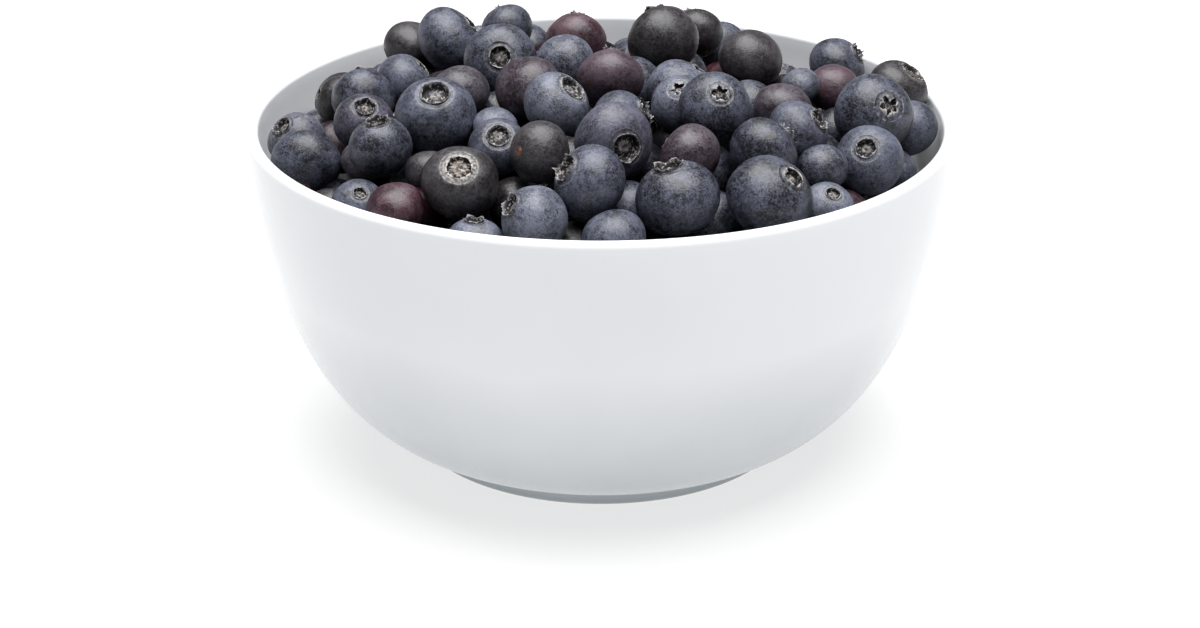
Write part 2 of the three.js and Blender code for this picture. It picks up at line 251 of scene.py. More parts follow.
def srgb(red: int, green: int, blue: int) -> Colour:
    """The linear colour of one as it shows on screen, whose parts go from 0 to 255."""
    return tuple(((part / 255 + 0.055) / 1.055) ** 2.4 for part in (red, green, blue))


# Geometry trees


class GeometryTree(Tree):
    """A Geometry Nodes tree with one geometry in and one out."""

    def __init__(self, name: str, sockets: dict[str, str]) -> None:
        """Starts the tree.

        Args:
            name: the tree's name.
            sockets: the type of each named input after the geometry.
        """
        super().__init__(bpy.data.node_groups.new(name, "GeometryNodeTree"))
        interface = self.nodes.interface
        interface.new_socket("Geometry", in_out="INPUT", socket_type="NodeSocketGeometry")
        for socket, kind in sockets.items():
            interface.new_socket(socket, in_out="INPUT", socket_type=kind)
        interface.new_socket("Geometry", in_out="OUTPUT", socket_type="NodeSocketGeometry")
        self.given = self.node("NodeGroupInput").outputs

    def close(self, geometry: bpy.types.NodeSocket) -> None:
        """Realizes what the tree has made, gives it the tree's material and leads it out.

        Args:
            geometry: what the tree has made.
        """
        real = self.out("GeometryNodeRealizeInstances", inputs={0: geometry})
        dressed = self.out("GeometryNodeSetMaterial", inputs={0: real, "Material": self.given["Material"]})
        self.node("NodeGroupOutput", inputs={0: dressed})

    def run(self, name: str, source: bpy.types.Mesh, inputs: dict[str, Any]) -> bpy.types.Object:
        """Runs the tree on a mesh and makes a plain object of the result.

        Args:
            name: the object's name.
            source: the mesh that goes in.
            inputs: what each of the tree's named inputs takes.

        Returns:
            The object, with its place in its mesh.
        """
        piece = linked(name, source)
        modifier = piece.modifiers.new(name, "NODES")
        modifier.node_group = self.nodes
        for item in self.nodes.interface.items_tree:
            if item.in_out == "INPUT" and item.name in inputs:
                modifier[item.identifier] = inputs[item.name]
        graph = bpy.context.evaluated_depsgraph_get()
        evaluated = piece.evaluated_get(graph)
        made = bpy.data.meshes.new_from_object(evaluated, preserve_all_data_layers=True, depsgraph=graph)
        made.name = name
        piece.modifiers.remove(modifier)
        piece.data = made
        bpy.data.meshes.remove(source)
        return piece


def turning_tree() -> GeometryTree:
    """The tree that turns an outline, a row of points at Y 0, once round Z.

    Returns:
        The tree, with the inputs Sides, Merge Distance and Material.
    """
    sockets = {
        "Sides": "NodeSocketInt",
        "Merge Distance": "NodeSocketFloat",
        "Material": "NodeSocketMaterial",
    }
    tree = GeometryTree("turned_outline", sockets)
    outline = tree.given["Geometry"]
    sides = Value(tree, tree.given["Sides"])
    count = tree.value("GeometryNodeAttributeDomainSize", {"component": "MESH"}, {0: outline})
    grid_inputs = {"Vertices X": sides + 1.0, "Vertices Y": count}
    grid = tree.node("GeometryNodeMeshGrid", inputs=grid_inputs).outputs["Mesh"]
    index = tree.value("GeometryNodeInputIndex")
    angle = (index / count).math("FLOOR") * FULL_TURN / sides
    position = tree.out("GeometryNodeInputPosition")
    sample_inputs = {"Geometry": outline, "Value": position, "Index": index % count}
    point = tree.out("GeometryNodeSampleIndex", {"data_type": "FLOAT_VECTOR"}, sample_inputs)
    turn_inputs = {"Vector": point, "Angle": angle}
    turned = tree.out("ShaderNodeVectorRotate", {"rotation_type": "Z_AXIS"}, turn_inputs)
    placed = tree.out("GeometryNodeSetPosition", inputs={"Geometry": grid, "Position": turned})
    merge_inputs = {"Geometry": placed, "Distance": tree.given["Merge Distance"]}
    merged = tree.out("GeometryNodeMergeByDistance", inputs=merge_inputs)
    tree.close(tree.out("GeometryNodeSetShadeSmooth", inputs={"Geometry": merged}))
    return tree


def linked(name: str, data: bpy.types.ID) -> bpy.types.Object:
    """A new object of the scene with that data."""
    made = bpy.data.objects.new(name, data)
    bpy.context.scene.collection.objects.link(made)
    return made


def turned_piece(
    turning: GeometryTree, name: str, outline: Array, sides: int, material: bpy.types.Material
) -> bpy.types.Object:
    """Turns an outline into a piece.

    Args:
        turning: the tree that does it.
        name: the piece's name.
        outline: radius and height of each point.
        sides: how many sides the piece has.
        material: its finish.

    Returns:
        The piece.
    """
    mesh = bpy.data.meshes.new(name)
    mesh.from_pydata([(radius * METRES, 0.0, height * METRES) for radius, height in outline], [], [])
    return turning.run(name, mesh, {"Sides": sides, "Merge Distance": SAME_POINT, "Material": material})


# Bowl


@dataclass(frozen=True)
class BowlShape:
    """Sizes and curves of the bowl. Points are radius and height."""

    rim_radius: float
    height: float
    wall: float = 2.8
    base: float = 4.2  # thickness where the wall turns into the floor
    lean: float = math.radians(3.5)  # of the wall at the rim, inward from upright
    wall_handle: float = 36.0  # how far the wall keeps that lean before it curves in
    foot_radius: float = 41.4
    foot_height: float = 3.0
    ring_width: float = 5.0
    foot_recess: float = 1.6
    foot_edge: float = 0.8
    underside_rise: float = math.radians(15.5)
    underside_handle: float = 21.0
    floor_height: float = 5.3
    tangent_step: float = 0.0001

    @property
    def lip(self) -> float:
        """Radius of the rim's rounding."""
        return self.wall / 2

    def handles(self) -> list[Array]:
        """The four points that shape the outer wall, from the rim's rounding to the foot."""
        lean = np.array([math.cos(self.lean), -math.sin(self.lean)])
        start = np.array([self.rim_radius, self.height]) - self.lip + self.lip * lean
        end = np.array([self.foot_radius, self.foot_height])
        down = np.array([-math.sin(self.lean), -math.cos(self.lean)])
        outward = np.array([math.cos(self.underside_rise), math.sin(self.underside_rise)])
        return [start, start + down * self.wall_handle, end + outward * self.underside_handle, end]

    def outer(self, share: float) -> Array:
        """The outer wall's point at a share of its way down.

        Args:
            share: 0 at the rim, 1 at the foot.

        Returns:
            Radius and height.
        """
        first, second, third, last = self.handles()
        rest = 1 - share
        return rest**3 * first + 3 * rest**2 * share * second + 3 * rest * share**2 * third + share**3 * last

    def along(self, share: float) -> Array:
        """Direction of the outer wall, down it, at a share of its way."""
        before = self.outer(max(0.0, share - self.tangent_step))
        after = self.outer(min(1.0, share + self.tangent_step))
        return (after - before) / np.linalg.norm(after - before)

    def inner_wall(self, steps: int, extra: float = 0.0) -> Array:
        """Points of the inner wall, from the rim down.

        Args:
            steps: how many steps the wall is cut into.
            extra: how much further in than the wall's surface they lie.

        Returns:
            Radius and height of each point.
        """
        points = []
        for share in np.linspace(0, 1, steps + 1):
            along = self.along(share)
            thickness = self.wall + (self.base - self.wall) * share * share + extra
            points.append(self.outer(share) + np.array([along[1], -along[0]]) * thickness)
        return np.array(points)

    def floor(self, wall_end: Array, steps: int, extra: float = 0.0) -> Array:
        """Points of the floor, from the foot of the inner wall to the axis.

        Args:
            wall_end: the inner wall's last point.
            steps: how many steps the floor is cut into.
            extra: how much higher than the floor they lie.

        Returns:
            Radius and height of each point after the wall's last.
        """
        height = self.floor_height + extra
        bend = np.array([wall_end[0] - (wall_end[1] - height) / math.tan(self.underside_rise), height])
        shares = np.linspace(0, 1, steps + 1)[1:, None]
        rest = 1 - shares
        centre = np.array([0.0, height])
        return rest**2 * wall_end + 2 * rest * shares * bend + shares**2 * centre


def arc(centre: tuple[float, float], radius: float, start: float, end: float, steps: int) -> Array:
    """Points on an arc round a centre, from a start angle to an end angle, as radius and height."""
    angles = np.linspace(start, end, steps + 1)
    return np.column_stack([centre[0] + radius * np.cos(angles), centre[1] + radius * np.sin(angles)])


@dataclass(frozen=True)
class Glaze:
    """Finish of the bowl: smooth white glaze, greyed by painted shade near the foot, bare and matt where the
    foot ring stands.
    """

    white: Colour = srgb(238, 240, 243)
    foot_shade: Colour = srgb(174, 181, 186)  # painted shade: the grey that the glaze takes towards the foot, where the wall faces the floor's shadow
    foot_shade_top: float = 0.6  # how far up that painted shade reaches, as a share of the bowl's height
    bare: Colour = srgb(206, 202, 194)
    bare_top: float = 0.35  # height to which the foot ring is bare
    bare_edge: float = 0.6  # share of that height at which the glaze begins
    gloss: float = 0.22
    matt: float = 0.72
    waviness: float = 0.05
    wave_scale: float = 90.0  # per metre
    cloud_scale: float = 28.0
    detail: float = 2.0
    cloud_tone: float = 0.3
    cloud_gloss: float = 0.06
    refraction: float = 1.5
    coat: float = 0.25
    coat_roughness: float = 0.12

    def material(self, shape: BowlShape) -> bpy.types.Material:
        """Builds the glaze.

        Args:
            shape: the bowl that it covers.

        Returns:
            The material.
        """
        tree = Finish("white_glaze")
        place = tree.node("ShaderNodeTexCoord").outputs["Object"]
        height = tree.parts(place)[2] / METRES
        cloud = tree.noise(place, self.cloud_scale, self.detail) - HALF
        # painted shade: the glaze greys from that share of the height down to the foot, with random clouds of
        # tone
        thickness = 1 - height.between(shape.foot_height, shape.height * self.foot_shade_top)
        colour = tree.mixed(thickness + cloud * self.cloud_tone, self.white, self.foot_shade)
        bareness = 1 - height.between(self.bare_top * self.bare_edge, self.bare_top)
        colour = tree.mixed(bareness, colour, self.bare)
        wave = tree.noise(place, self.wave_scale, self.detail)
        inputs = {
            "Base Color": colour,
            "Roughness": self.gloss + cloud * self.cloud_gloss + bareness * (self.matt - self.gloss),
            "Normal": tree.bump(wave, self.waviness, METRES),
            "IOR": self.refraction,
            "Coat Weight": self.coat,
            "Coat Roughness": self.coat_roughness,
        }
        return tree.close(inputs)


@dataclass(frozen=True)
class Bowl:
    """The bowl itself, turned from one outline."""

    shape: BowlShape
    glaze: Glaze = Glaze()
    sides: int = 192
    wall_steps: int = 44
    floor_steps: int = 8
    rim_steps: int = 14
    edge_steps: int = 4

    def outline(self) -> Array:
        """The bowl's outline, from the axis below round the rim to the axis above.

        Returns:
            Radius and height of each point.
        """
        shape = self.shape
        edge = shape.foot_edge
        ring_inside = shape.foot_radius - shape.ring_width
        recess_edge = (ring_inside - edge, shape.foot_recess - edge)
        inner_edge = (ring_inside + edge, edge)
        outer_edge = (shape.foot_radius - edge, edge)
        quarter = math.pi / 2
        under = np.array([[0.0, shape.foot_recess], [ring_inside / 2, shape.foot_recess]])
        recess = arc(recess_edge, edge, quarter, 0.0, self.edge_steps)
        inside = arc(inner_edge, edge, math.pi, 3 * quarter, self.edge_steps)
        outside = arc(outer_edge, edge, -quarter, 0.0, self.edge_steps)
        wall = np.array([shape.outer(share) for share in np.linspace(1, 0, self.wall_steps + 1)])
        rim_middle = (shape.rim_radius - shape.lip, shape.height - shape.lip)
        rim = arc(rim_middle, shape.lip, -shape.lean, math.pi - shape.lean, self.rim_steps)[1:-1]
        inner = shape.inner_wall(self.wall_steps)
        floor = shape.floor(inner[-1], self.floor_steps)
        return np.vstack([under, recess, inside, outside, wall, rim, inner, floor])

    def build(self, turning: GeometryTree) -> bpy.types.Object:
        """Makes the bowl.

        Args:
            turning: the tree that turns an outline.

        Returns:
            The bowl's object.
        """
        material = self.glaze.material(self.shape)
        return turned_piece(turning, "bowl_shell", self.outline(), self.sides, material)


# Berries


class Skin(Enum):
    """The kinds of berry in the heap, by the look of their skin; the last is painted shade, a darker copy for
    berries low in the heap.
    """

    BLUE = "blue"
    PALE = "pale"
    DARK = "dark"
    PLUM = "plum"
    # painted shade: a darker copy of the skin for the berries lying low in the heap
    BELOW = "below"


class Crown(Enum):
    """The kinds of crown: the ring of five dry lobes at a berry's flower end. STEM shows the other end."""

    OPEN = 0
    FOLDED = 1
    LOW = 2
    UPRIGHT = 3
    WIDE = 4
    DRY = 5
    STEM = 6


@dataclass(frozen=True)
class Reading:
    """A berry on top as it shows from the front.

    across and up are its middle, in millimetres from the rim's middle on the plane square to the gaze. crown
    is where its crown shows, in berry radii from its middle, on the far side where that is over 1. nearer is
    how far it stands before the dome, and blush how red its skin is.
    """

    across: float
    up: float
    width: float
    crown: tuple[float, float]
    skin: Skin
    nearer: float = 0.0
    blush: float = 0.0
    form: Crown | None = None


FAR_BERRIES = [
    Reading(-40.2, 14.0, 13.0, (-0.5, -1.1), Skin.DARK, nearer=-4),
    Reading(-32.3, 15.5, 16.0, (0.8, 0.55), Skin.BLUE, nearer=5, form=Crown.LOW),
    Reading(-20.0, 17.7, 12.5, (-0.6, 1.05), Skin.BLUE, form=Crown.UPRIGHT),
    Reading(-21.2, 11.1, 16.0, (0, 0.05), Skin.BLUE, form=Crown.OPEN),
    Reading(-5.3, 15.3, 14.0, (0.1, 1.1), Skin.PLUM, blush=1.0, form=Crown.UPRIGHT),
    Reading(-7.6, 10.9, 13.0, (0.2, -1.2), Skin.PALE, nearer=-1),
    Reading(13.2, 15.5, 16.0, (-0.3, 1), Skin.DARK, nearer=5, form=Crown.UPRIGHT),
    Reading(20.1, 16.8, 13.0, (-0.4, 1), Skin.DARK, nearer=-5, form=Crown.UPRIGHT),
    Reading(31.8, 11.5, 14.5, (-0.3, -1.1), Skin.DARK),
    Reading(50.1, 10.0, 13.5, (0.78, 0.5), Skin.BLUE, nearer=-4, form=Crown.UPRIGHT),
    Reading(63.0, 5.1, 14.0, (0.6, 0.7), Skin.DARK, nearer=-3),
]
LEFT_BERRIES = [
    Reading(-55.9, 2.8, 10.5, (-0.9, 0.3), Skin.DARK, nearer=-2),
    Reading(-50.4, 3.2, 13.5, (0, 1.05), Skin.BLUE, form=Crown.UPRIGHT),
    Reading(-41.7, 6.8, 12.5, (0.75, 0.6), Skin.BLUE),
    Reading(-64.5, -5.7, 12.5, (-0.5, 0.5), Skin.PALE, blush=0.4, form=Crown.UPRIGHT),
    Reading(-62.5, -10.4, 14.5, (0, 1.3), Skin.BLUE, form=Crown.STEM),
    Reading(-50.4, -1.9, 12.5, (0.15, 0.55), Skin.BLUE, blush=0.3, form=Crown.UPRIGHT),
    Reading(-46.8, -7.0, 13.0, (-0.1, 0.86), Skin.BLUE, form=Crown.UPRIGHT),
    Reading(-50.0, -9.8, 10.0, (0, -1.2), Skin.PLUM, nearer=-9),
    Reading(-34.9, -0.4, 17.0, (0, 0.6), Skin.BLUE, form=Crown.OPEN),
]
MIDDLE_BERRIES = [
    Reading(-29.8, 4.5, 12.5, (-0.1, -1.2), Skin.PLUM),
    Reading(-15.3, 5.3, 14.5, (0.4, -1.2), Skin.PLUM, blush=0.2),
    Reading(2.0, 7.2, 14.5, (0.1, 1.05), Skin.PLUM, blush=0.7, form=Crown.UPRIGHT),
    Reading(17.1, 4.0, 16.0, (0.6, 0.76), Skin.PALE, nearer=-6),
    Reading(16.9, 2.1, 12.5, (-0.1, 0.5), Skin.PALE, nearer=-5, form=Crown.FOLDED),
    Reading(24.3, 1.3, 15.0, (0.12, 0.38), Skin.BLUE, nearer=3, form=Crown.FOLDED),
    Reading(-22.3, -3.0, 9.5, (-0.3, -1.2), Skin.PALE, nearer=-4),
    Reading(-9.5, 1.7, 14.5, (0.62, 0.6), Skin.PALE),
    Reading(4.3, -1.9, 13.5, (0.85, 0.45), Skin.BLUE, nearer=-3),
    Reading(2.8, -6.0, 16.0, (0.38, -0.25), Skin.BLUE, blush=0.35, form=Crown.OPEN),
]
RIGHT_BERRIES = [
    Reading(42.4, 6.0, 8.5, (0, -1.2), Skin.PALE, nearer=-5),
    Reading(49.2, 5.5, 11.5, (0, -1.2), Skin.PLUM, blush=1.0),
    Reading(57.9, 0.0, 17.0, (0.4, 0.17), Skin.BLUE, nearer=4, form=Crown.FOLDED),
    Reading(66.2, -3.2, 13.0, (0.6, -1.1), Skin.BLUE, nearer=-7),
    Reading(38.6, 0.9, 12.5, (-0.3, -1.1), Skin.PLUM, blush=0.2),
    Reading(41.8, -4.0, 13.5, (0.75, 0.45), Skin.BLUE),
    Reading(34.5, -8.3, 14.5, (0.8, 0.65), Skin.BLUE),
    Reading(47.1, -11.7, 10.5, (0, -1.2), Skin.PALE, nearer=-3),
    Reading(56.9, -10.0, 14.5, (-0.2, 0.37), Skin.BLUE, form=Crown.OPEN),
    Reading(62.2, -12.3, 10.0, (0, -1.2), Skin.BLUE),
]
NEAR_BERRIES = [
    Reading(-51.5, -19.6, 11.0, (0.15, 0.5), Skin.BLUE, form=Crown.LOW),
    Reading(-43.6, -20.6, 12.0, (0.4, -1.2), Skin.PLUM, blush=0.75),
    Reading(-36.4, -12.6, 10.0, (0, -1.2), Skin.DARK, nearer=-5),
    Reading(-29.8, -14.7, 15.5, (0, 0.48), Skin.DARK, form=Crown.DRY),
    Reading(-21.7, -7.2, 12.5, (0.03, 0.42), Skin.BLUE, form=Crown.WIDE),
    Reading(-12.9, -8.3, 13.0, (2.5, -0.1), Skin.DARK, form=Crown.STEM),
    Reading(-2.3, -14.7, 15.5, (-0.75, 0.42), Skin.BLUE, form=Crown.UPRIGHT),
    Reading(18.8, -9.4, 14.0, (-0.9, 0.5), Skin.PLUM, blush=0.3),
    Reading(16.2, -18.1, 16.5, (-0.25, 0.9), Skin.BLUE, form=Crown.UPRIGHT),
    Reading(35.8, -17.9, 17.5, (0.6, 0.53), Skin.BLUE, form=Crown.LOW),
    Reading(48.1, -19.8, 10.5, (0.2, 0.6), Skin.PALE),
    Reading(-26.8, -27.7, 11.5, (0, 0.95), Skin.PALE, form=Crown.UPRIGHT),
    Reading(-14.2, -22.6, 13.5, (-0.74, 0.45), Skin.PALE, form=Crown.UPRIGHT),
    Reading(2.6, -26.8, 13.0, (0.5, -1), Skin.BLUE, nearer=3),
]


@dataclass
class Berry:
    """One berry of the heap, in millimetres."""

    middle: Array
    radius: float
    crown: Array | None = None
    skin: Skin = Skin.BLUE
    blush: float = 0.0
    form: Crown | None = None
    sink: float = 0.0  # how far below the dome a drawn berry lies
    sight: Array | None = None  # way from the eye, for a berry placed by a reading
    reach: float = 0.0  # how far along it the berry is
    home: float = 0.0  # and where it would be without its neighbours

    @property
    def placed(self) -> bool:
        """Whether a reading placed it."""
        return self.sight is not None

    @property
    def off_axis(self) -> float:
        """Distance of its middle from the bowl's axis."""
        return math.hypot(self.middle[0], self.middle[1])


def polar(radius: float, angle: float, height: float) -> Array:
    """The point at a radius, an angle and a height."""
    return np.array([radius * math.cos(angle), radius * math.sin(angle), height])


class Draws:
    """Repeatable draws from 0 to 1."""

    factor = 1664525
    step = 1013904223
    span = 4294967296

    def __init__(self, seed: int) -> None:
        """Starts the draws at a seed."""
        self.state = seed

    def __call__(self) -> float:
        """The next draw."""
        self.state = (self.state * self.factor + self.step) % self.span
        return self.state / self.span

    def spread(self, middle: float, reach: float) -> float:
        """A draw between middle less reach and middle plus reach."""
        return middle + reach * (2 * self() - 1)

    def direction(self) -> Array:
        """A direction, all being as likely."""
        height = 2 * self() - 1
        angle = FULL_TURN * self()
        return polar(math.sqrt(1 - height * height), angle, height)


@dataclass(frozen=True)
class Gaze:
    """The standpoint before the bowl from which the berries on top are placed, and the camera's."""

    rim_height: float
    distance: float = 550.0
    rise: float = math.radians(18.8)
    tilt: float = math.radians(23.24)

    @property
    def eye(self) -> Array:
        """Where the eye is."""
        level = -self.distance * math.cos(self.rise)
        return np.array([0.0, level, self.rim_height + self.distance * math.sin(self.rise)])

    @property
    def ahead(self) -> Array:
        """The way that it looks."""
        return np.array([0.0, math.cos(self.tilt), -math.sin(self.tilt)])

    @property
    def upward(self) -> Array:
        """The picture's upward way."""
        return np.array([0.0, math.sin(self.tilt), math.cos(self.tilt)])

    def seen(self, points: Array) -> tuple[Array, Array]:
        """Where points show.

        Args:
            points: one point, or one to a row.

        Returns:
            Across and up in radians of view, and the depth along the gaze.
        """
        away = points - self.eye
        depth = away @ self.ahead
        spot = np.stack([away[..., 0] / depth, away @ self.upward / depth], axis=-1)
        return spot, depth

    def crown(self, across: float, up: float) -> Array:
        """Direction of a crown that shows across and up from its berry's middle.

        Args:
            across: in berry radii.
            up: in berry radii.

        Returns:
            The direction, of length 1.
        """
        toward = 1 - across * across - up * up
        depth = math.copysign(math.sqrt(abs(toward)), toward) if toward else 0.0
        way = np.array([across, 0.0, 0.0]) + self.upward * up - self.ahead * depth
        return way / np.linalg.norm(way)


@dataclass(frozen=True)
class Layer:
    """How one layer of berries is drawn, largest first."""

    tries: int
    largest: float  # radius
    least: int  # least and most that a berry sinks under the dome
    most: int
    crowding: float  # least share of two berries' radii between their middles


@dataclass
class HeapRule:
    """Where each berry of the heap lies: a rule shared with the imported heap."""

    bowl: BowlShape
    gaze: Gaze
    rise: float = 10.0  # of the dome's top above the rim
    reach: float = 59.0  # from the axis to where the dome passes through the rim's plane
    power: float = 2.8
    wall_steps: int = 9
    contact_gap: float = 0.5
    sight_reach: float = 90.0
    sight_step: float = 0.5
    high_penalty: float = 0.3
    seed: int = 20
    smallest: float = 5.6
    least_size: float = 0.5  # of a drawn berry, as a share of the largest that its turn allows
    upper: Layer = Layer(1500, 8.2, 0, 9, 0.86)
    lower: Layer = Layer(1500, 7.2, 7, 12, 0.8)
    cover: float = 0.5  # how much of the smaller of two berries the other may hide
    depth_slack: float = 1.0
    far_side: float = -5.0  # Y past which a drawn berry may show nothing over those before it
    showing: int = 3  # how many of its edge points may show elsewhere
    edge_shares: tuple[tuple[float, float], ...] = (
        (0, 0.95), (0.7, 0.65), (-0.7, 0.65), (0, 0.3), (0.9, 0.2), (-0.9, 0.2),
    )
    touch: float = 0.985  # of two berries' radii, where they stop pushing
    first_steps: int = 120
    last_steps: int = 60
    hold_seen: float = 0.02  # how far a placed berry moves back to its home in each step
    hold_fill: float = 0.1  # and a drawn one to its depth
    yield_seen: float = 0.1  # how much of a push a placed berry takes from a drawn one
    wall: Array = field(init=False)

    def __post_init__(self) -> None:
        """Works out the inner wall once."""
        self.wall = self.bowl.inner_wall(self.wall_steps)

    def dome(self, radius: Array | float) -> Array | float:
        """Height, at a radius, of the dome that the berries' middles lie on."""
        return self.bowl.height + self.rise * (1 - (radius / self.reach) ** self.power)

    def clearance(self, radius: float, height: float) -> float:
        """Distance from a point to the bowl's inner wall.

        Args:
            radius: the point's distance from the axis.
            height: its height.

        Returns:
            The distance, negative outside the wall.
        """
        start = self.wall[:-1]
        edge = self.wall[1:] - start
        point = np.array([radius, height]) - start
        share = np.clip((point * edge).sum(1) / (edge * edge).sum(1), 0, 1)
        distance = np.linalg.norm(point - share[:, None] * edge, axis=1)
        near = int(distance.argmin())
        inside = point[near, 0] * edge[near, 1] - point[near, 1] * edge[near, 0] > 0
        return float(distance[near]) if inside else -float(distance[near])

    def pressed(self, berry: Berry) -> float:
        """How far a berry presses into the wall or the gap before it, 0 or less where it is clear."""
        clearance = self.clearance(berry.off_axis, float(berry.middle[2]))
        return berry.radius + self.contact_gap - clearance

    def slide(self, berry: Berry, reach: float) -> None:
        """Sets a placed berry on its line of sight, at a distance from the eye."""
        berry.reach = reach
        berry.middle = self.gaze.eye + berry.sight * reach

    def place(self, reading: Reading) -> Berry:
        """Sets a berry where its line of sight first meets the dome inside the wall, or comes nearest.

        Args:
            reading: the berry as it shows.

        Returns:
            The berry.
        """
        target = np.array([reading.across, 0.0, self.bowl.height]) + self.gaze.upward * reading.up
        sight = target - self.gaze.eye
        berry = Berry(
            middle=target,
            radius=reading.width / 2,
            crown=self.gaze.crown(*reading.crown),
            skin=reading.skin,
            blush=reading.blush,
            form=reading.form,
            sight=sight / np.linalg.norm(sight),
        )
        best = math.inf
        best_reach = self.gaze.distance
        for step in range(int(2 * self.sight_reach / self.sight_step)):
            reach = self.gaze.distance - self.sight_reach + step * self.sight_step
            self.slide(berry, reach)
            over = max(0.0, berry.middle[2] - self.dome(berry.off_axis))
            miss = max(0.0, self.pressed(berry)) + self.high_penalty * over
            if miss < best:
                best = miss
                best_reach = reach
            if miss == 0:
                break
        berry.home = best_reach - reading.nearer
        self.slide(berry, berry.home)
        return berry

    def behind_rim(self, berry: Berry) -> bool:
        """Whether the bowl's front rim hides all of a berry from the eye."""
        eye = self.gaze.eye
        way = berry.middle[:2] - eye[:2]
        square = float(way @ way)
        half = -eye[1] * way[1]
        root = half * half - square * (eye[1] ** 2 - self.bowl.rim_radius**2)
        share = (half - math.sqrt(max(0.0, root))) / square
        rim = np.array([share * way[0], eye[1] + share * way[1], self.bowl.height])
        top = berry.middle + np.array([0.0, 0.0, berry.radius])
        return self.gaze.seen(rim)[0][1] > self.gaze.seen(top)[0][1]

    def spoils_view(self, berry: Berry, placed: list[Berry]) -> bool:
        """Whether a drawn berry would stand before a placed one, or show over those before it.

        Args:
            berry: the drawn berry.
            placed: the placed ones.

        Returns:
            Whether it has to lie elsewhere.
        """
        if self.behind_rim(berry):
            return False
        spot, depth = self.gaze.seen(berry.middle)
        spots, depths = self.gaze.seen(np.array([other.middle for other in placed]))
        sizes = np.array([other.radius for other in placed]) / depths
        size = berry.radius / depth
        apart = np.linalg.norm(spots - spot, axis=1)
        least = size + sizes - self.cover * np.minimum(size, sizes)
        if np.any((depth < depths + self.depth_slack) & (apart < least)):
            return True
        offsets = np.array([(x, 0.0, z) for x, z in self.edge_shares]) * berry.radius
        edge_spots, edge_depths = self.gaze.seen(berry.middle + offsets)
        gaps = np.linalg.norm(edge_spots[:, None] - spots[None], axis=2)
        hidden = ((depths[None] < edge_depths[:, None]) & (gaps < sizes[None])).any(1)
        return int((~hidden).sum()) > (0 if berry.middle[1] > self.far_side else self.showing)

    def crowded(self, berry: Berry, berries: list[Berry], share: float) -> bool:
        """Whether a berry lies too near another.

        Args:
            berry: the berry.
            berries: the others.
            share: least share of two berries' radii between their middles.

        Returns:
            Whether one is nearer than that.
        """
        middles = np.array([other.middle for other in berries])
        least = (np.array([other.radius for other in berries]) + berry.radius) * share
        return bool((((middles - berry.middle) ** 2).sum(1) < least * least).any())

    def fill(self, berries: list[Berry], draw: Draws, layer: Layer) -> None:
        """Drops berries on the dome wherever there is room, each no higher than the ones before it hide.

        Args:
            berries: the berries so far, which the drawn ones join.
            draw: the heap's draws.
            layer: how the berries are drawn.
        """
        placed = [berry for berry in berries if berry.placed]
        for attempt in range(layer.tries):
            size = (1 - attempt / layer.tries) * (self.least_size + (1 - self.least_size) * draw())
            berry_radius = self.smallest + (layer.largest - self.smallest) * size
            radius = self.bowl.rim_radius * math.sqrt(draw())
            angle = FULL_TURN * draw()
            for sink in range(layer.least, layer.most + 1):
                middle = polar(radius, angle, self.dome(radius) - sink)
                berry = Berry(middle=middle, radius=berry_radius, sink=float(sink))
                if self.pressed(berry) > 0 or self.crowded(berry, berries, layer.crowding):
                    continue
                if self.spoils_view(berry, placed):
                    continue
                berries.append(berry)
                break

    def pushes(self, berries: list[Berry]) -> Array:
        """How far its neighbours push each berry in one step.

        Args:
            berries: all berries so far.

        Returns:
            One push for each.
        """
        middles = np.array([berry.middle for berry in berries])
        radii = np.array([berry.radius for berry in berries])
        placed = np.array([berry.placed for berry in berries])
        between = middles[None] - middles[:, None]
        distance = np.linalg.norm(between, axis=2)
        touch = (radii[:, None] + radii[None]) * self.touch
        crossing = distance < touch
        np.fill_diagonal(crossing, False)
        np.fill_diagonal(distance, 1.0)
        share = np.full(crossing.shape, HALF)
        share[placed[:, None] & ~placed[None]] = self.yield_seen
        share[~placed[:, None] & placed[None]] = 1 - self.yield_seen
        amount = np.where(crossing, (touch - distance) / distance * share, 0.0)
        return -(between * amount[:, :, None]).sum(1)

    def settle(self, berries: list[Berry], steps: int) -> None:
        """Pushes crossing berries apart: placed ones slide along their sight lines, drawn ones move freely.

        Args:
            berries: all berries so far.
            steps: how many steps to take.
        """
        for _ in range(steps):
            for berry, push in zip(berries, self.pushes(berries)):
                if berry.placed:
                    reach = berry.reach + push @ berry.sight + (berry.home - berry.reach) * self.hold_seen
                    self.slide(berry, reach)
                    over = self.pressed(berry)
                    if over > 0:
                        self.slide(berry, reach + (over if berry.middle[1] < 0 else -over))
                else:
                    berry.middle = berry.middle + push
                    height = self.dome(berry.off_axis) - berry.sink
                    berry.middle[2] += (height - berry.middle[2]) * self.hold_fill
                    self.tuck_in(berry)

    def tuck_in(self, berry: Berry) -> None:
        """Moves a berry that presses on the wall straight towards the axis."""
        over = max(0.0, self.pressed(berry))
        berry.middle[:2] *= 1 - over / berry.off_axis

    def berries(self) -> tuple[list[Berry], list[Berry]]:
        """All berries of the heap's surface, and those that show between them.

        Returns:
            The upper berries, placed ones first, and the lower ones.
        """
        rows = [*FAR_BERRIES, *LEFT_BERRIES, *MIDDLE_BERRIES, *RIGHT_BERRIES, *NEAR_BERRIES]
        berries = [self.place(reading) for reading in rows]
        self.settle(berries, self.first_steps)
        draw = Draws(self.seed)
        self.fill(berries, draw, self.upper)
        self.settle(berries, self.last_steps)
        for berry in berries:
            self.tuck_in(berry)
        self.turn_crowns(berries, draw)
        count = len(berries)
        self.fill(berries, draw, self.lower)
        self.turn_crowns(berries, draw)
        return berries[:count], berries[count:]

    def turn_crowns(self, berries: list[Berry], draw: Draws) -> None:
        """Gives every berry without a crown's direction a drawn one."""
        for berry in berries:
            if berry.crown is None:
                berry.crown = draw.direction()


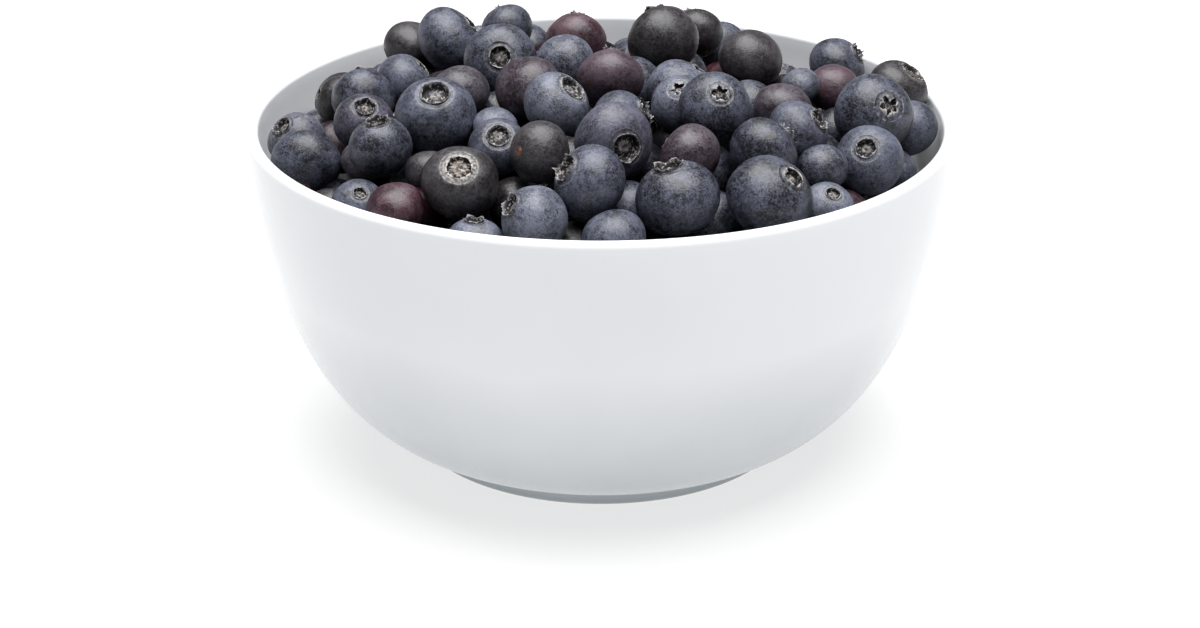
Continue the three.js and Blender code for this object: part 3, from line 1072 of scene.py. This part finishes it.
@dataclass(frozen=True)
class BerryForm:
    """One berry form of radius 1, its crown along +Z. Lengths are shares of that radius."""

    crown: Crown
    seed: int
    half_height: float = 0.88
    collar: float = 0.36  # radius of the ring that the lobes stand on
    lobe_height: float = 0.10
    lobe_lean: float = 0.1  # how far the tips lean out, or in where negative, as a share of the collar
    lobe_width: float = 0.5  # half a lobe's width, as a share of the way from one lobe to the next
    lobe_point: float = 0.7  # under 1 blunt, over 1 pointed
    dry: float = 0.3  # how pale and dry the lobes' faces are, beside their edges
    circle: float = 0.12  # how pale the line round the crown is
    disc_tone: float = 0.6  # how pale and dry the disc is
    low_share: float = 0.25  # height of the ring between two lobes, as a share of a lobe's
    gap_shade_edge: float = 2.5  # how sharply the gaps between the lobes end, dark with painted shade
    raggedness: float = 0.1
    wall: float = 0.035
    sunk: float = 0.13  # of the trench inside the ring
    disc: float = 0.5  # radius of the disc, as a share of the collar
    disc_rise: float = 0.55  # of the disc over the trench, as a share of its depth
    centre_dip: float = 0.01
    shoulder: float = 0.03
    groove: float = 0.012
    lobes: int = 5
    sides: int = 54
    body_rings: int = 16
    squareness: float = 0.93
    lumps: float = 0.06
    lump_scale: float = 0.9
    lump_shift: tuple[float, float, float] = (3.7, 1.3, 0.0)  # how far apart two forms lie in the noise
    dimple: float = 0.05
    dimple_radius: float = 0.17
    scar_radius: float = 0.1
    scar: float = 0.0  # how brown the stem end is
    foot: float = 1.5  # radius at which the body ends, as a share of the collar
    stray: float = 0.14  # how far a lobe lies from its even place, as a share of the way to the next
    width_spread: float = 0.15
    whole_tip: float = 0.8
    tip_spread: float = 0.2

    @property
    def usual(self) -> Crown | None:
        """Its crown, unless it is the stem end that shows."""
        return None if self.scar else self.crown

    def lobe_shares(self, angles: Array, draw: Draws) -> Array:
        """How much of a lobe there is at each angle, from 0 between lobes to 1 at a whole tip.

        Args:
            angles: round the crown.
            draw: the form's draws.

        Returns:
            The share at each angle.
        """
        shares = np.zeros_like(angles)
        pitch = FULL_TURN / self.lobes
        for lobe in range(self.lobes):
            centre = pitch * (lobe + draw.spread(0.0, self.stray))
            width = pitch * self.lobe_width * draw.spread(1.0, self.width_spread)
            tip = draw.spread(self.whole_tip, self.tip_spread)
            away = np.abs((angles - centre + math.pi) % FULL_TURN - math.pi)
            shares = np.maximum(shares, tip * np.clip(1 - away / width, 0, 1) ** self.lobe_point)
        return shares

    def body_rows(self, angles: Array) -> list[Array]:
        """The rings from the stem end up to the crown's foot.

        Args:
            angles: round the berry.

        Returns:
            For each ring the radius, height, and marks of rim, pit and disc at each angle.
        """
        rows = []
        last = math.acos((self.collar * self.foot) ** (1 / self.squareness))
        for share in np.linspace(0, 1, self.body_rings + 1)[1:]:
            level = -math.pi / 2 + (last + math.pi / 2) * share
            radius = math.cos(level) ** self.squareness
            height = self.half_height * math.sin(level)
            if height < 0 and radius < self.dimple_radius:
                height += self.dimple * (1 - (radius / self.dimple_radius) ** 2)
            scar = self.scar if height < 0 and radius < self.scar_radius else 0.0
            rows.append(self.row(angles, radius, height, 0.0, 0.0, scar))
        return rows

    def row(self, angles: Array, *values: Array | float) -> Array:
        """One ring: radius, height, and marks of rim, pit and disc, each spread over all angles."""
        return np.array([np.broadcast_to(value, angles.shape) for value in values])

    def crown_rows(self, angles: Array, foot_radius: float, foot: float) -> list[Array]:
        """The rings from the crown's foot over the lobes and in to the disc.

        Args:
            angles: round the berry.
            foot_radius: radius of the body's last ring.
            foot: its height.

        Returns:
            For each ring the radius, height, and marks of rim, pit and disc at each angle.
        """
        draw = Draws(self.seed)
        lobe = self.lobe_shares(angles, draw)
        ragged = np.array([draw.spread(0.0, self.raggedness) for _ in angles])
        # painted shade: dark marks in the gaps between the lobes
        gap = 1 - np.clip(lobe * self.gap_shade_edge, 0, 1)
        stand = self.lobe_height * (self.low_share + (1 - self.low_share) * lobe) * (1 + 2 * ragged)
        lean = self.lobe_lean * lobe * (1 + 3 * ragged)
        collar = self.collar
        base = foot + self.shoulder
        inside = collar - self.wall
        disc = self.disc * inside
        floor = base - self.sunk
        rise = floor + self.disc_rise * self.sunk
        slope = (foot_radius - collar) / 4
        face = self.dry
        droop = np.minimum(lean, 0)
        rings = (
            # pale circle round the crown, and its groove darkened with painted shade
            (collar + 3.2 * slope, foot + 0.35 * self.shoulder, 0.1, 0.0, 0.0),
            (collar + 2.8 * slope, foot + 0.55 * self.shoulder, self.circle, 0.0, 0.0),
            (collar + 2.3 * slope, foot + 0.65 * self.shoulder - self.groove, 0.0, 0.3, 0.0),
            # lobes from outside, up to their edges
            (collar + slope, base, 0.5 * face**2, 0.0, 0.0),
            (collar, base + 0.15 * stand, 0.7 * face**2, gap * 0.5, 0.0),
            (collar * (1 + 0.35 * lean), base + 0.75 * stand, face, gap * 0.4, 0.0),
            (collar * (1 + 0.9 * lean), base + stand * (1 + 0.45 * droop), 0.4 + 0.6 * face, gap * 0.4, 0.0),
            (collar * (1 + lean), base + stand * (1 + 0.6 * droop), 1.0, gap * 0.5, 0.0),
            # lobes from inside, down to the trench, dark with painted shade
            (collar * (1 + lean) - 0.6 * self.wall, base + 0.75 * stand, 0.5, 0.6, 0.0),
            (inside * (1 + 0.4 * lean), base - 0.2 * self.sunk, 0.0, 1.0, 0.0),
            (inside * 0.97, floor + 0.2 * self.sunk, 0.0, 1.0, 0.0),
            (HALF * (inside + disc), floor, 0.0, 1.0, 0.0),
            # disc in the middle, with its own small hollow, dark with painted shade
            (disc * (1 + 3 * ragged), rise - 0.1 * self.sunk, 0.0, 0.7, 0.5),
            (disc * (0.8 + ragged), rise, 0.0, 0.0, self.disc_tone),
            (disc * 0.45, rise - 0.05 * self.sunk, 0.0, 0.1, self.disc_tone),
            (disc * 0.22, rise - 0.2 * self.sunk, 0.0, 0.8, 0.6),
        )
        return [self.row(angles, *ring) for ring in rings]

    def mesh(self) -> bpy.types.Mesh:
        """Makes the form's mesh.

        Returns:
            A closed mesh with the attributes skin_place and crown_marks.
        """
        angles = np.arange(self.sides) * FULL_TURN / self.sides
        rows = self.body_rows(angles)
        rows += self.crown_rows(angles, float(rows[-1][0, 0]), float(rows[-1][1, 0]))
        rings = np.array(rows)
        radii, heights = rings[:, 0], rings[:, 1]
        marks = np.moveaxis(rings[:, 2:], 1, 2)
        grid = np.stack([radii * np.cos(angles), radii * np.sin(angles), heights], axis=-1)
        stem = [[0.0, 0.0, -self.half_height + self.dimple]]
        centre = [[0.0, 0.0, heights[-1, 0] - self.centre_dip]]
        points = np.vstack([stem, grid.reshape(-1, 3), centre])
        flat_marks = np.vstack([[[0.0, 0.0, self.scar]], marks.reshape(-1, 3), [[0.0, 1.0, 0.5]]])
        shift = Vector([self.seed * part for part in self.lump_shift])
        lumpy = [1 + self.lumps * noise.noise(Vector(point) * self.lump_scale + shift) for point in points]
        mesh = bpy.data.meshes.new(f"berry_form_{self.crown.name.lower()}_{self.seed}")
        mesh.from_pydata((points * np.array(lumpy)[:, None]).tolist(), [], self.faces(len(rings)))
        mesh.shade_smooth()
        for name, values in (("skin_place", points), ("crown_marks", flat_marks)):
            attribute = mesh.attributes.new(name, "FLOAT_VECTOR", "POINT")
            attribute.data.foreach_set("vector", values.astype(np.float32).ravel())
        return mesh

    def faces(self, count: int) -> list[tuple[int, ...]]:
        """The faces between rings, and the two fans at the poles.

        Args:
            count: how many rings there are.

        Returns:
            The points of each face.
        """
        sides = self.sides
        last = count * sides + 1
        faces: list[tuple[int, ...]] = []
        for side in range(sides):
            after = (side + 1) % sides
            faces.append((0, 1 + after, 1 + side))
            top = 1 + (count - 1) * sides
            faces.append((last, top + side, top + after))
            for ring in range(count - 1):
                low = 1 + ring * sides
                high = low + sides
                faces.append((low + side, low + after, high + after, high + side))
        return faces


@dataclass(frozen=True)
class Spots:
    """Soft spots on a berry, from a noise."""

    scale: float  # how many there are to a berry's radius
    detail: float  # how many finer noises are laid over it
    low: float  # the noise where a spot begins
    high: float  # and where it is full

    def on(self, tree: Finish, place: bpy.types.NodeSocket) -> Value:
        """How much of a spot there is at a place, from 0 to 1."""
        return tree.noise(place, self.scale, self.detail).between(self.low, self.high)


@dataclass(frozen=True)
class BerrySkin:
    """Finish of one kind of berry: dark skin under a patchy waxy bloom, a dry pale crown, and painted shade
    in its trench.
    """

    skin: Skin
    deep: Colour
    bloom: Colour
    cover: float = 0.5  # share of the skin under bloom
    shifts: tuple[float, float, float] = (37.0, 91.0, 53.0)  # how far apart two berries lie in the noises
    patches: Spots = Spots(1.5, 3.0, 0.41, 0.6)
    mottles: Spots = Spots(7.0, 4.0, 0.36, 0.66)
    grains: Spots = Spots(22.0, 3.0, 0.36, 0.64)
    pricked: Spots = Spots(2.3, 1.0, 0.45, 0.55)  # where the skin has bare pricks
    prick_scale: float = 4.2
    prick_size: tuple[float, float] = (0.06, 0.17)
    prick_share: float = 0.8  # how much of the bloom they take away
    bloom_shares: tuple[float, ...] = (0.38, 0.4, 0.6)  # how much of it patches, mottles and grains give
    blush: Colour = srgb(68, 20, 29)
    blush_shares: tuple[float, float] = (0.4, 0.9)  # all over, and in the patches
    blush_bare: float = 0.3  # how much less bloom there is on it
    crumb_scale: float = 12.0
    crumb_detail: float = 2.0
    rim: Colour = srgb(198, 192, 186)
    rim_crumbs: tuple[float, float] = (0.4, 0.54)
    disc: Colour = srgb(122, 110, 100)
    disc_crumbs: tuple[float, float] = (0.38, 0.5)
    scar: Colour = srgb(150, 92, 58)  # in the disc's place at the stem end
    # partly the crown's own dark, partly painted shade: the near black of its trench, groove and the gaps
    # between its lobes
    dark_pit_and_shade: Colour = srgb(14, 12, 14)
    pit_on_disc: float = 0.5
    flecks: tuple[float, float] = (0.57, 0.62)  # pale crumbs in the trench and on the disc
    fleck_cover: float = 0.65
    disc_flecks: float = 0.6
    gloss: float = 0.34
    shine: float = 0.52
    wax: float = 0.14  # how much rougher the bloom is
    dryness: float = 0.25  # how much rougher the crown is
    refraction: float = 1.46
    relief: tuple[float, ...] = (0.5, 0.3, 0.2)  # of patches, mottles and grains
    bump: float = 0.35
    bump_height: float = 0.25  # millimetres

    def material(self) -> bpy.types.Material:
        """Builds the skin.

        Returns:
            The material.
        """
        tree = Finish(f"berry_{self.skin.value}")
        own_place, tone, marks = (
            tree.node("ShaderNodeAttribute", {"attribute_name": name}).outputs["Vector"]
            for name in ("skin_place", "berry_tone", "crown_marks")
        )
        own_cover, own_blush, own_seed = tree.parts(tone)
        shift = tree.vector(*(own_seed * far for far in self.shifts))
        place = tree.out("ShaderNodeVectorMath", {"operation": "ADD"}, {0: own_place, 1: shift})
        spots = [kind.on(tree, place) for kind in (self.patches, self.mottles, self.grains)]
        cover = own_cover
        for spot, share in zip(spots, self.bloom_shares):
            cover = cover + (spot - HALF) * share
        specks = tree.value("ShaderNodeTexVoronoi", inputs={"Vector": place, "Scale": self.prick_scale})
        pricks = (1 - specks.between(*self.prick_size)) * self.pricked.on(tree, place)
        cover = (cover - pricks * self.prick_share).clamped()
        all_over, in_patches = self.blush_shares
        redness = (own_blush * (all_over + spots[0] * in_patches)).clamped()
        colour = tree.mixed(redness, self.deep, self.blush)
        colour = tree.mixed(cover * (1 - redness * self.blush_bare), colour, self.bloom)
        rim, dark_pit_and_shade, disc = tree.parts(marks)
        colour = self.crown_colour(tree, colour, rim, dark_pit_and_shade, disc, place, own_place)
        dry = (rim + disc + dark_pit_and_shade).clamped()
        first, second, third = (spot * share for spot, share in zip(spots, self.relief))
        inputs = {
            "Base Color": colour,
            "Roughness": self.gloss + cover * self.wax + dry * self.dryness,
            "Normal": tree.bump(first + second + third, self.bump, self.bump_height * METRES),
            "IOR": self.refraction,
            "Specular IOR Level": self.shine,
        }
        return tree.close(inputs)

    def crown_colour(
        self, tree: Finish, colour: bpy.types.NodeSocket, rim: Value, dark_pit_and_shade: Value, disc: Value,
        place: bpy.types.NodeSocket, own_place: bpy.types.NodeSocket,
    ) -> bpy.types.NodeSocket:
        """Lays the crown's dry parts over the skin, and its dark ones, which are partly painted shade.

        Args:
            tree: the material's tree.
            colour: the skin's colour.
            rim: where the crown's rim is.
            dark_pit_and_shade: where its trench is, dark in itself and with painted shade.
            disc: where its disc is, or the stem's scar.
            place: where on the berry, shifted for each.
            own_place: where on the berry.

        Returns:
            The whole colour.
        """
        crumbs = tree.noise(place, self.crumb_scale, self.crumb_detail)
        stem_end = tree.parts(own_place)[2].math("LESS_THAN", 0.0)
        dry_colour = tree.mixed(stem_end, self.disc, self.scar)
        colour = tree.mixed(disc * crumbs.between(*self.disc_crumbs), colour, dry_colour)
        colour = tree.mixed(rim * crumbs.between(*self.rim_crumbs), colour, self.rim)
        # painted shade over the crown's own dark: the trench, the groove and the gaps between the lobes go
        # near black
        colour = tree.mixed(dark_pit_and_shade * (1 - disc * self.pit_on_disc), colour, self.dark_pit_and_shade)
        flecks = (dark_pit_and_shade + disc * self.disc_flecks) * crumbs.between(*self.flecks) * self.fleck_cover
        return tree.mixed(flecks, colour, self.rim)


SKINS = [
    BerrySkin(Skin.BLUE, deep=srgb(19, 19, 25), bloom=srgb(94, 98, 114), cover=0.46),
    BerrySkin(Skin.PALE, deep=srgb(27, 28, 35), bloom=srgb(108, 112, 127), cover=0.51),
    BerrySkin(Skin.DARK, deep=srgb(21, 18, 19), bloom=srgb(72, 69, 73), cover=0.4),
    BerrySkin(Skin.PLUM, deep=srgb(27, 19, 24), bloom=srgb(90, 86, 96), cover=0.44),
    # painted shade: darker, with less bloom and shine than the others, for the low berries and the core
    BerrySkin(Skin.BELOW, deep=srgb(17, 16, 20), bloom=srgb(54, 56, 65), cover=0.35, shine=0.1),
]


def scattering_tree() -> GeometryTree:
    """The tree that puts a berry form on each point.

    Returns:
        The tree, with the inputs Forms, Unevenness, Seed and Material. Each point's attributes give its
        form, radius, crown and tone.
    """
    sockets = {
        "Forms": "NodeSocketCollection",
        "Unevenness": "NodeSocketFloat",
        "Seed": "NodeSocketInt",
        "Material": "NodeSocketMaterial",
    }
    tree = GeometryTree("berries_on_points", sockets)

    def attribute(name: str, kind: str) -> bpy.types.NodeSocket:
        """A point's named attribute."""
        return tree.out("GeometryNodeInputNamedAttribute", {"data_type": kind}, {"Name": name})

    def drawn(low: Any, high: Any) -> bpy.types.NodeSocket:
        """A random vector for each point."""
        inputs = {"Min": low, "Max": high, "Seed": tree.given["Seed"]}
        return tree.out("FunctionNodeRandomValue", {"data_type": "FLOAT_VECTOR"}, inputs)

    forms_inputs = {"Collection": tree.given["Forms"], "Separate Children": True, "Reset Children": True}
    forms = tree.out("GeometryNodeCollectionInfo", {"transform_space": "ORIGINAL"}, forms_inputs)
    aim_inputs = {"Vector": attribute("crown_way", "FLOAT_VECTOR")}
    aimed = tree.out("FunctionNodeAlignRotationToVector", {"axis": "Z"}, aim_inputs)
    spin = tree.out("FunctionNodeEulerToRotation", inputs={0: drawn((0.0, 0.0, 0.0), (0.0, 0.0, FULL_TURN))})
    turn_inputs = {"Rotation": aimed, "Rotate By": spin}
    turned_way = tree.out("FunctionNodeRotateRotation", {"rotation_space": "LOCAL"}, turn_inputs)
    uneven = Value(tree, tree.given["Unevenness"])
    shape = drawn(tree.vector(1 - uneven, 1 - uneven, 1 - 2 * uneven), (1.0, 1.0, 1.0))
    scale_inputs = {"Vector": shape, "Scale": attribute("berry_radius", "FLOAT")}
    instance_inputs = {
        "Points": tree.given["Geometry"],
        "Instance": forms,
        "Pick Instance": True,
        "Instance Index": attribute("form", "INT"),
        "Rotation": turned_way,
        "Scale": tree.out("ShaderNodeVectorMath", {"operation": "SCALE"}, scale_inputs),
    }
    tree.close(tree.out("GeometryNodeInstanceOnPoints", inputs=instance_inputs))
    return tree


@dataclass
class Heap:
    """The heap of berries: those of the surface, those between them, deep ones and a core, the last three in
    painted shade.
    """

    rule: HeapRule
    seed: int = 7
    unevenness: float = 0.035
    deep_tries: int = 700
    deep_least: float = 13.0  # depth of the deep berries' middles under the dome
    deep_most: float = 17.0
    deep_radius: float = 6.6
    deep_spread: float = 0.12
    deep_crowding: float = 0.86
    core_depth: float = 20.0
    cover_spread: float = 0.2  # how much the bloom varies from berry to berry
    sunk_shade: float = 0.03  # painted shade: how much less bloom, so how much darker, a drawn berry has for each millimetre that it lies lower
    core_sides: int = 96
    core_steps: int = 12
    plum_blush: float = 0.5
    below_blush: tuple[float, float] = (-0.5, 1.0)  # usual blush and how much it varies, cut off at 0
    fine_forms: tuple[BerryForm, ...] = (
        BerryForm(Crown.OPEN, 1, collar=0.34, lobe_height=0.09, lobe_lean=0.15, sunk=0.15),
        BerryForm(Crown.OPEN, 2, collar=0.31, lobe_height=0.1, lobe_lean=-0.1, half_height=0.85),
        BerryForm(
            Crown.FOLDED, 3, collar=0.3, lobe_height=0.05, lobe_lean=-0.6, lobe_width=0.46, disc=0.35,
            circle=0.45,
        ),
        BerryForm(
            Crown.FOLDED, 4, collar=0.28, lobe_height=0.06, lobe_lean=-0.5, lobe_width=0.44, disc=0.4,
            circle=0.35,
        ),
        BerryForm(Crown.LOW, 5, collar=0.27, lobe_height=0.06, lobe_lean=-0.15, sunk=0.12),
        BerryForm(Crown.LOW, 6, collar=0.28, lobe_height=0.07, lobe_lean=-0.3, half_height=0.86),
        BerryForm(Crown.UPRIGHT, 7, collar=0.34, lobe_height=0.17, lobe_lean=0.12, raggedness=0.22, dry=0.3),
        BerryForm(Crown.UPRIGHT, 8, collar=0.32, lobe_height=0.15, lobe_lean=0.2, half_height=0.91, dry=0.25),
        BerryForm(
            Crown.WIDE, 9, lobe_height=0.08, lobe_lean=0.05, collar=0.38, disc=0.45, wall=0.06, dry=0.7,
            circle=0.3,
        ),
        BerryForm(
            Crown.DRY, 10, lobe_height=0.03, lobe_lean=-0.12, lobe_point=0.5, disc=0.8, dry=0.9, circle=0.45,
            disc_tone=1.0,
        ),
        BerryForm(Crown.STEM, 13, collar=0.28, scar=1.0, scar_radius=0.17, dimple=0.1),
    )
    coarse_forms: tuple[BerryForm, ...] = (
        BerryForm(Crown.LOW, 11, sides=32, body_rings=11, collar=0.29),
        BerryForm(Crown.FOLDED, 12, sides=32, body_rings=11, collar=0.26, lobe_lean=-0.4),
    )
    # each skin with the draw up to which it is taken
    drawn_skins: tuple[tuple[Skin, float], ...] = (
        (Skin.BLUE, 0.46), (Skin.DARK, 0.68), (Skin.PLUM, 0.84), (Skin.PALE, 1.0),
    )

    def surface_berries(self, draw: Draws) -> tuple[list[Berry], list[Berry]]:
        """The berries of the surface and those that show between them, each with its skin, the lower ones in
        painted shade.

        Args:
            draw: the heap's draws.

        Returns:
            The upper and the lower berries.
        """
        upper, lower = self.rule.berries()
        for berry in upper:
            chance = draw()
            if not berry.placed:
                berry.skin = next(skin for skin, limit in self.drawn_skins if chance <= limit)
                berry.blush = self.plum_blush * draw() if berry.skin is Skin.PLUM else 0.0
        for berry in lower:
            berry.skin = Skin.BELOW
            berry.blush = max(0.0, draw.spread(*self.below_blush))
        return upper, lower

    def deep_berries(self, above: list[Berry], draw: Draws) -> list[Berry]:
        """The berries just over the core, drawn at random wherever there is room.

        Args:
            above: the berries over them.
            draw: the heap's draws.

        Returns:
            The deep berries.
        """
        berries: list[Berry] = []
        for _ in range(self.deep_tries):
            radius = self.rule.bowl.rim_radius * math.sqrt(draw())
            angle = FULL_TURN * draw()
            depth = self.deep_least + (self.deep_most - self.deep_least) * draw()
            middle = polar(radius, angle, self.rule.dome(radius) - depth)
            size = self.deep_radius * draw.spread(1.0, self.deep_spread)
            berry = Berry(middle=middle, radius=size, crown=draw.direction(), skin=Skin.BELOW)
            crowded = self.rule.crowded(berry, [*above, *berries], self.deep_crowding)
            if not crowded and self.rule.pressed(berry) <= 0:
                berries.append(berry)
        return berries

    def points(
        self, berries: list[Berry], forms: tuple[BerryForm, ...], finish: BerrySkin, draw: Draws
    ) -> bpy.types.Mesh:
        """One point for each berry, with what the scattering tree needs to know.

        Args:
            berries: the berries.
            forms: the forms to choose from.
            finish: the berries' skin.
            draw: the heap's draws.

        Returns:
            The mesh of points.
        """
        mesh = bpy.data.meshes.new(f"{finish.skin.value}_points")
        mesh.from_pydata([tuple(berry.middle * METRES) for berry in berries], [], [])
        choices = []
        tones = []
        for berry in berries:
            fitting = [i for i, form in enumerate(forms) if (berry.form or form.usual) is form.crown]
            choices.append(fitting[int(draw() * len(fitting))])
            cover = draw.spread(finish.cover, self.cover_spread) - berry.sink * self.sunk_shade
            tones += [cover, berry.blush, draw()]
        columns = (
            ("form", "INT", "value", choices),
            ("berry_radius", "FLOAT", "value", [berry.radius * METRES for berry in berries]),
            ("crown_way", "FLOAT_VECTOR", "vector", [part for berry in berries for part in berry.crown]),
            ("berry_tone", "FLOAT_VECTOR", "vector", tones),
        )
        for title, kind, key, values in columns:
            mesh.attributes.new(title, kind, "POINT").data.foreach_set(key, values)
        return mesh

    def core(self, turning: GeometryTree, material: bpy.types.Material) -> bpy.types.Object:
        """Makes the core, which fills the bowl under the berries, dark with the lower berries' painted shade.

        Args:
            turning: the tree that turns an outline.
            material: its finish.

        Returns:
            The core's object.
        """
        rule = self.rule
        wall = rule.bowl.inner_wall(rule.wall_steps * 2, rule.contact_gap)
        wall = wall[wall[:, 1] < rule.dome(wall[:, 0]) - self.core_depth]
        floor = rule.bowl.floor(wall[-1], self.core_steps, rule.contact_gap)
        radii = wall[0, 0] * np.sqrt(np.linspace(1, 0, self.core_steps + 1))
        top = np.column_stack([radii, rule.dome(radii) - self.core_depth])
        outline = np.vstack([floor[::-1], wall[::-1], top])
        return turned_piece(turning, "heap_core", outline, self.core_sides, material)

    def form_collection(self, name: str, forms: tuple[BerryForm, ...]) -> bpy.types.Collection:
        """A collection of the forms, in their order.

        Args:
            name: the collection's name.
            forms: the forms.

        Returns:
            The collection.
        """
        collection = bpy.data.collections.new(name)
        bpy.context.scene.collection.children.link(collection)
        for place, form in enumerate(forms):
            collection.objects.link(bpy.data.objects.new(f"{name}_{place:02d}", form.mesh()))
        return collection

    def drop_forms(self, collection: bpy.types.Collection) -> None:
        """Removes a collection of forms with its objects."""
        for form in list(collection.objects):
            bpy.data.objects.remove(form)
        bpy.data.collections.remove(collection)

    def build(self, turning: GeometryTree) -> list[bpy.types.Object]:
        """Makes the whole heap.

        Args:
            turning: the tree that turns an outline.

        Returns:
            One object for each kind of berry, and the core.
        """
        draw = Draws(self.seed)
        upper, lower = self.surface_berries(draw)
        lower += self.deep_berries([*upper, *lower], draw)
        log.info("heap: %d berries in the surface, %d below", len(upper), len(lower))
        scattering = scattering_tree()
        fine = self.form_collection("fine_form", self.fine_forms)
        coarse = self.form_collection("coarse_form", self.coarse_forms)
        pieces = []
        core_material = None
        for finish in SKINS:
            below = finish.skin is Skin.BELOW
            berries = lower if below else [berry for berry in upper if berry.skin is finish.skin]
            forms = self.coarse_forms if below else self.fine_forms
            source = self.points(berries, forms, finish, draw)
            material = finish.material()
            inputs = {
                "Forms": coarse if below else fine,
                "Unevenness": self.unevenness,
                "Seed": self.seed + len(pieces),
                "Material": material,
            }
            pieces.append(scattering.run(f"berries_{finish.skin.value}", source, inputs))
            if below:
                core_material = material
        self.drop_forms(fine)
        self.drop_forms(coarse)
        pieces.append(self.core(turning, core_material))
        return pieces


# Studio


@dataclass(frozen=True)
class Studio:
    """A plain pale floor, soft light from above, and the camera."""

    gaze: Gaze
    axis_shift: float = 0.17  # how far left of the bowl's axis the camera stands
    sensor: float = 36.0
    lens: float = 77.52
    nearest: float = 0.01  # metres, where the view begins
    floor_size: float = 8.0  # metres
    floor_colour: Colour = (0.3, 0.3, 0.3)
    floor_glow: float = 0.68  # as of a light table
    floor_roughness: float = 0.9
    air_colour: Colour = (0.97, 0.985, 1.0)
    air_light: float = 0.15
    top_size: tuple[float, float] = (1.3, 1.0)  # metres
    top_place: tuple[float, float, float] = (0.02, 0.02, 1.1)
    top_power: float = 31.5

    def floor(self) -> bpy.types.Object:
        """Makes the floor.

        Returns:
            The floor's object.
        """
        half = self.floor_size / 2
        mesh = bpy.data.meshes.new("floor")
        corners = [(-half, -half, 0.0), (half, -half, 0.0), (half, half, 0.0), (-half, half, 0.0)]
        mesh.from_pydata(corners, [], [(0, 1, 2, 3)])
        inputs = {
            "Base Color": opaque(self.floor_colour),
            "Roughness": self.floor_roughness,
            "Emission Color": (1.0, 1.0, 1.0, 1.0),
            "Emission Strength": self.floor_glow,
        }
        mesh.materials.append(Finish("pale_floor").close(inputs))
        return linked("floor", mesh)

    def light(self) -> None:
        """Lights the scene: pale air all round and one wide light overhead."""
        world = bpy.data.worlds.new("studio_air")
        world.use_nodes = True
        tree = Tree(world.node_tree)
        air_inputs = {"Color": opaque(self.air_colour), "Strength": self.air_light}
        air = tree.out("ShaderNodeBackground", inputs=air_inputs)
        tree.node("ShaderNodeOutputWorld", inputs={"Surface": air})
        bpy.context.scene.world = world
        lamp = bpy.data.lights.new("softbox", "AREA")
        lamp.shape = "RECTANGLE"
        lamp.size, lamp.size_y = self.top_size
        lamp.energy = self.top_power
        holder = linked("softbox", lamp)
        holder.location = self.top_place
        holder.rotation_euler = (-Vector(self.top_place)).to_track_quat("-Z", "Y").to_euler()

    def camera(self) -> None:
        """Makes the camera where the gaze is."""
        data = bpy.data.cameras.new("camera")
        data.sensor_width = self.sensor
        data.lens = self.lens
        data.clip_start = self.nearest
        camera = linked("camera", data)
        camera.location = Vector(self.gaze.eye * METRES) - Vector((self.axis_shift * METRES, 0.0, 0.0))
        camera.rotation_euler = (math.pi / 2 - self.gaze.tilt, 0.0, 0.0)
        bpy.context.scene.camera = camera

    def build(self) -> None:
        """Makes floor, light and camera, and sets plain colours."""
        self.floor()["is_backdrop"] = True
        self.light()
        self.camera()
        bpy.context.scene.view_settings.view_transform = "Standard"


def corners() -> list[list[float]]:
    """The lowest and the highest corner of what shows, as plain numbers."""
    return [list(corner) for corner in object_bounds()]


def report(piece: bpy.types.Object) -> None:
    """Writes a piece's name and size to the log."""
    piece.data.calc_loop_triangles()
    log.info("%s: %d triangles", piece.name, len(piece.data.loop_triangles))


def main() -> None:
    """Builds the bowl, the heap and the studio in order."""
    logging.basicConfig(level=logging.INFO, format="%(message)s")
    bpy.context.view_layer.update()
    low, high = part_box("bowl")
    shape = BowlShape(rim_radius=round(high.x / METRES, 1), height=round(high.z / METRES, 1))
    gaze = Gaze(shape.height)
    Studio(gaze).build()
    turning = turning_tree()
    bowl = Bowl(shape).build(turning)
    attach(bowl, BODY)
    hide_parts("bowl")
    report(bowl)
    for piece in Heap(HeapRule(shape, gaze)).build(turning):
        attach(piece, BODY)
        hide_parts("berry_heap")
        report(piece)


if __name__ == "__main__":
    main()
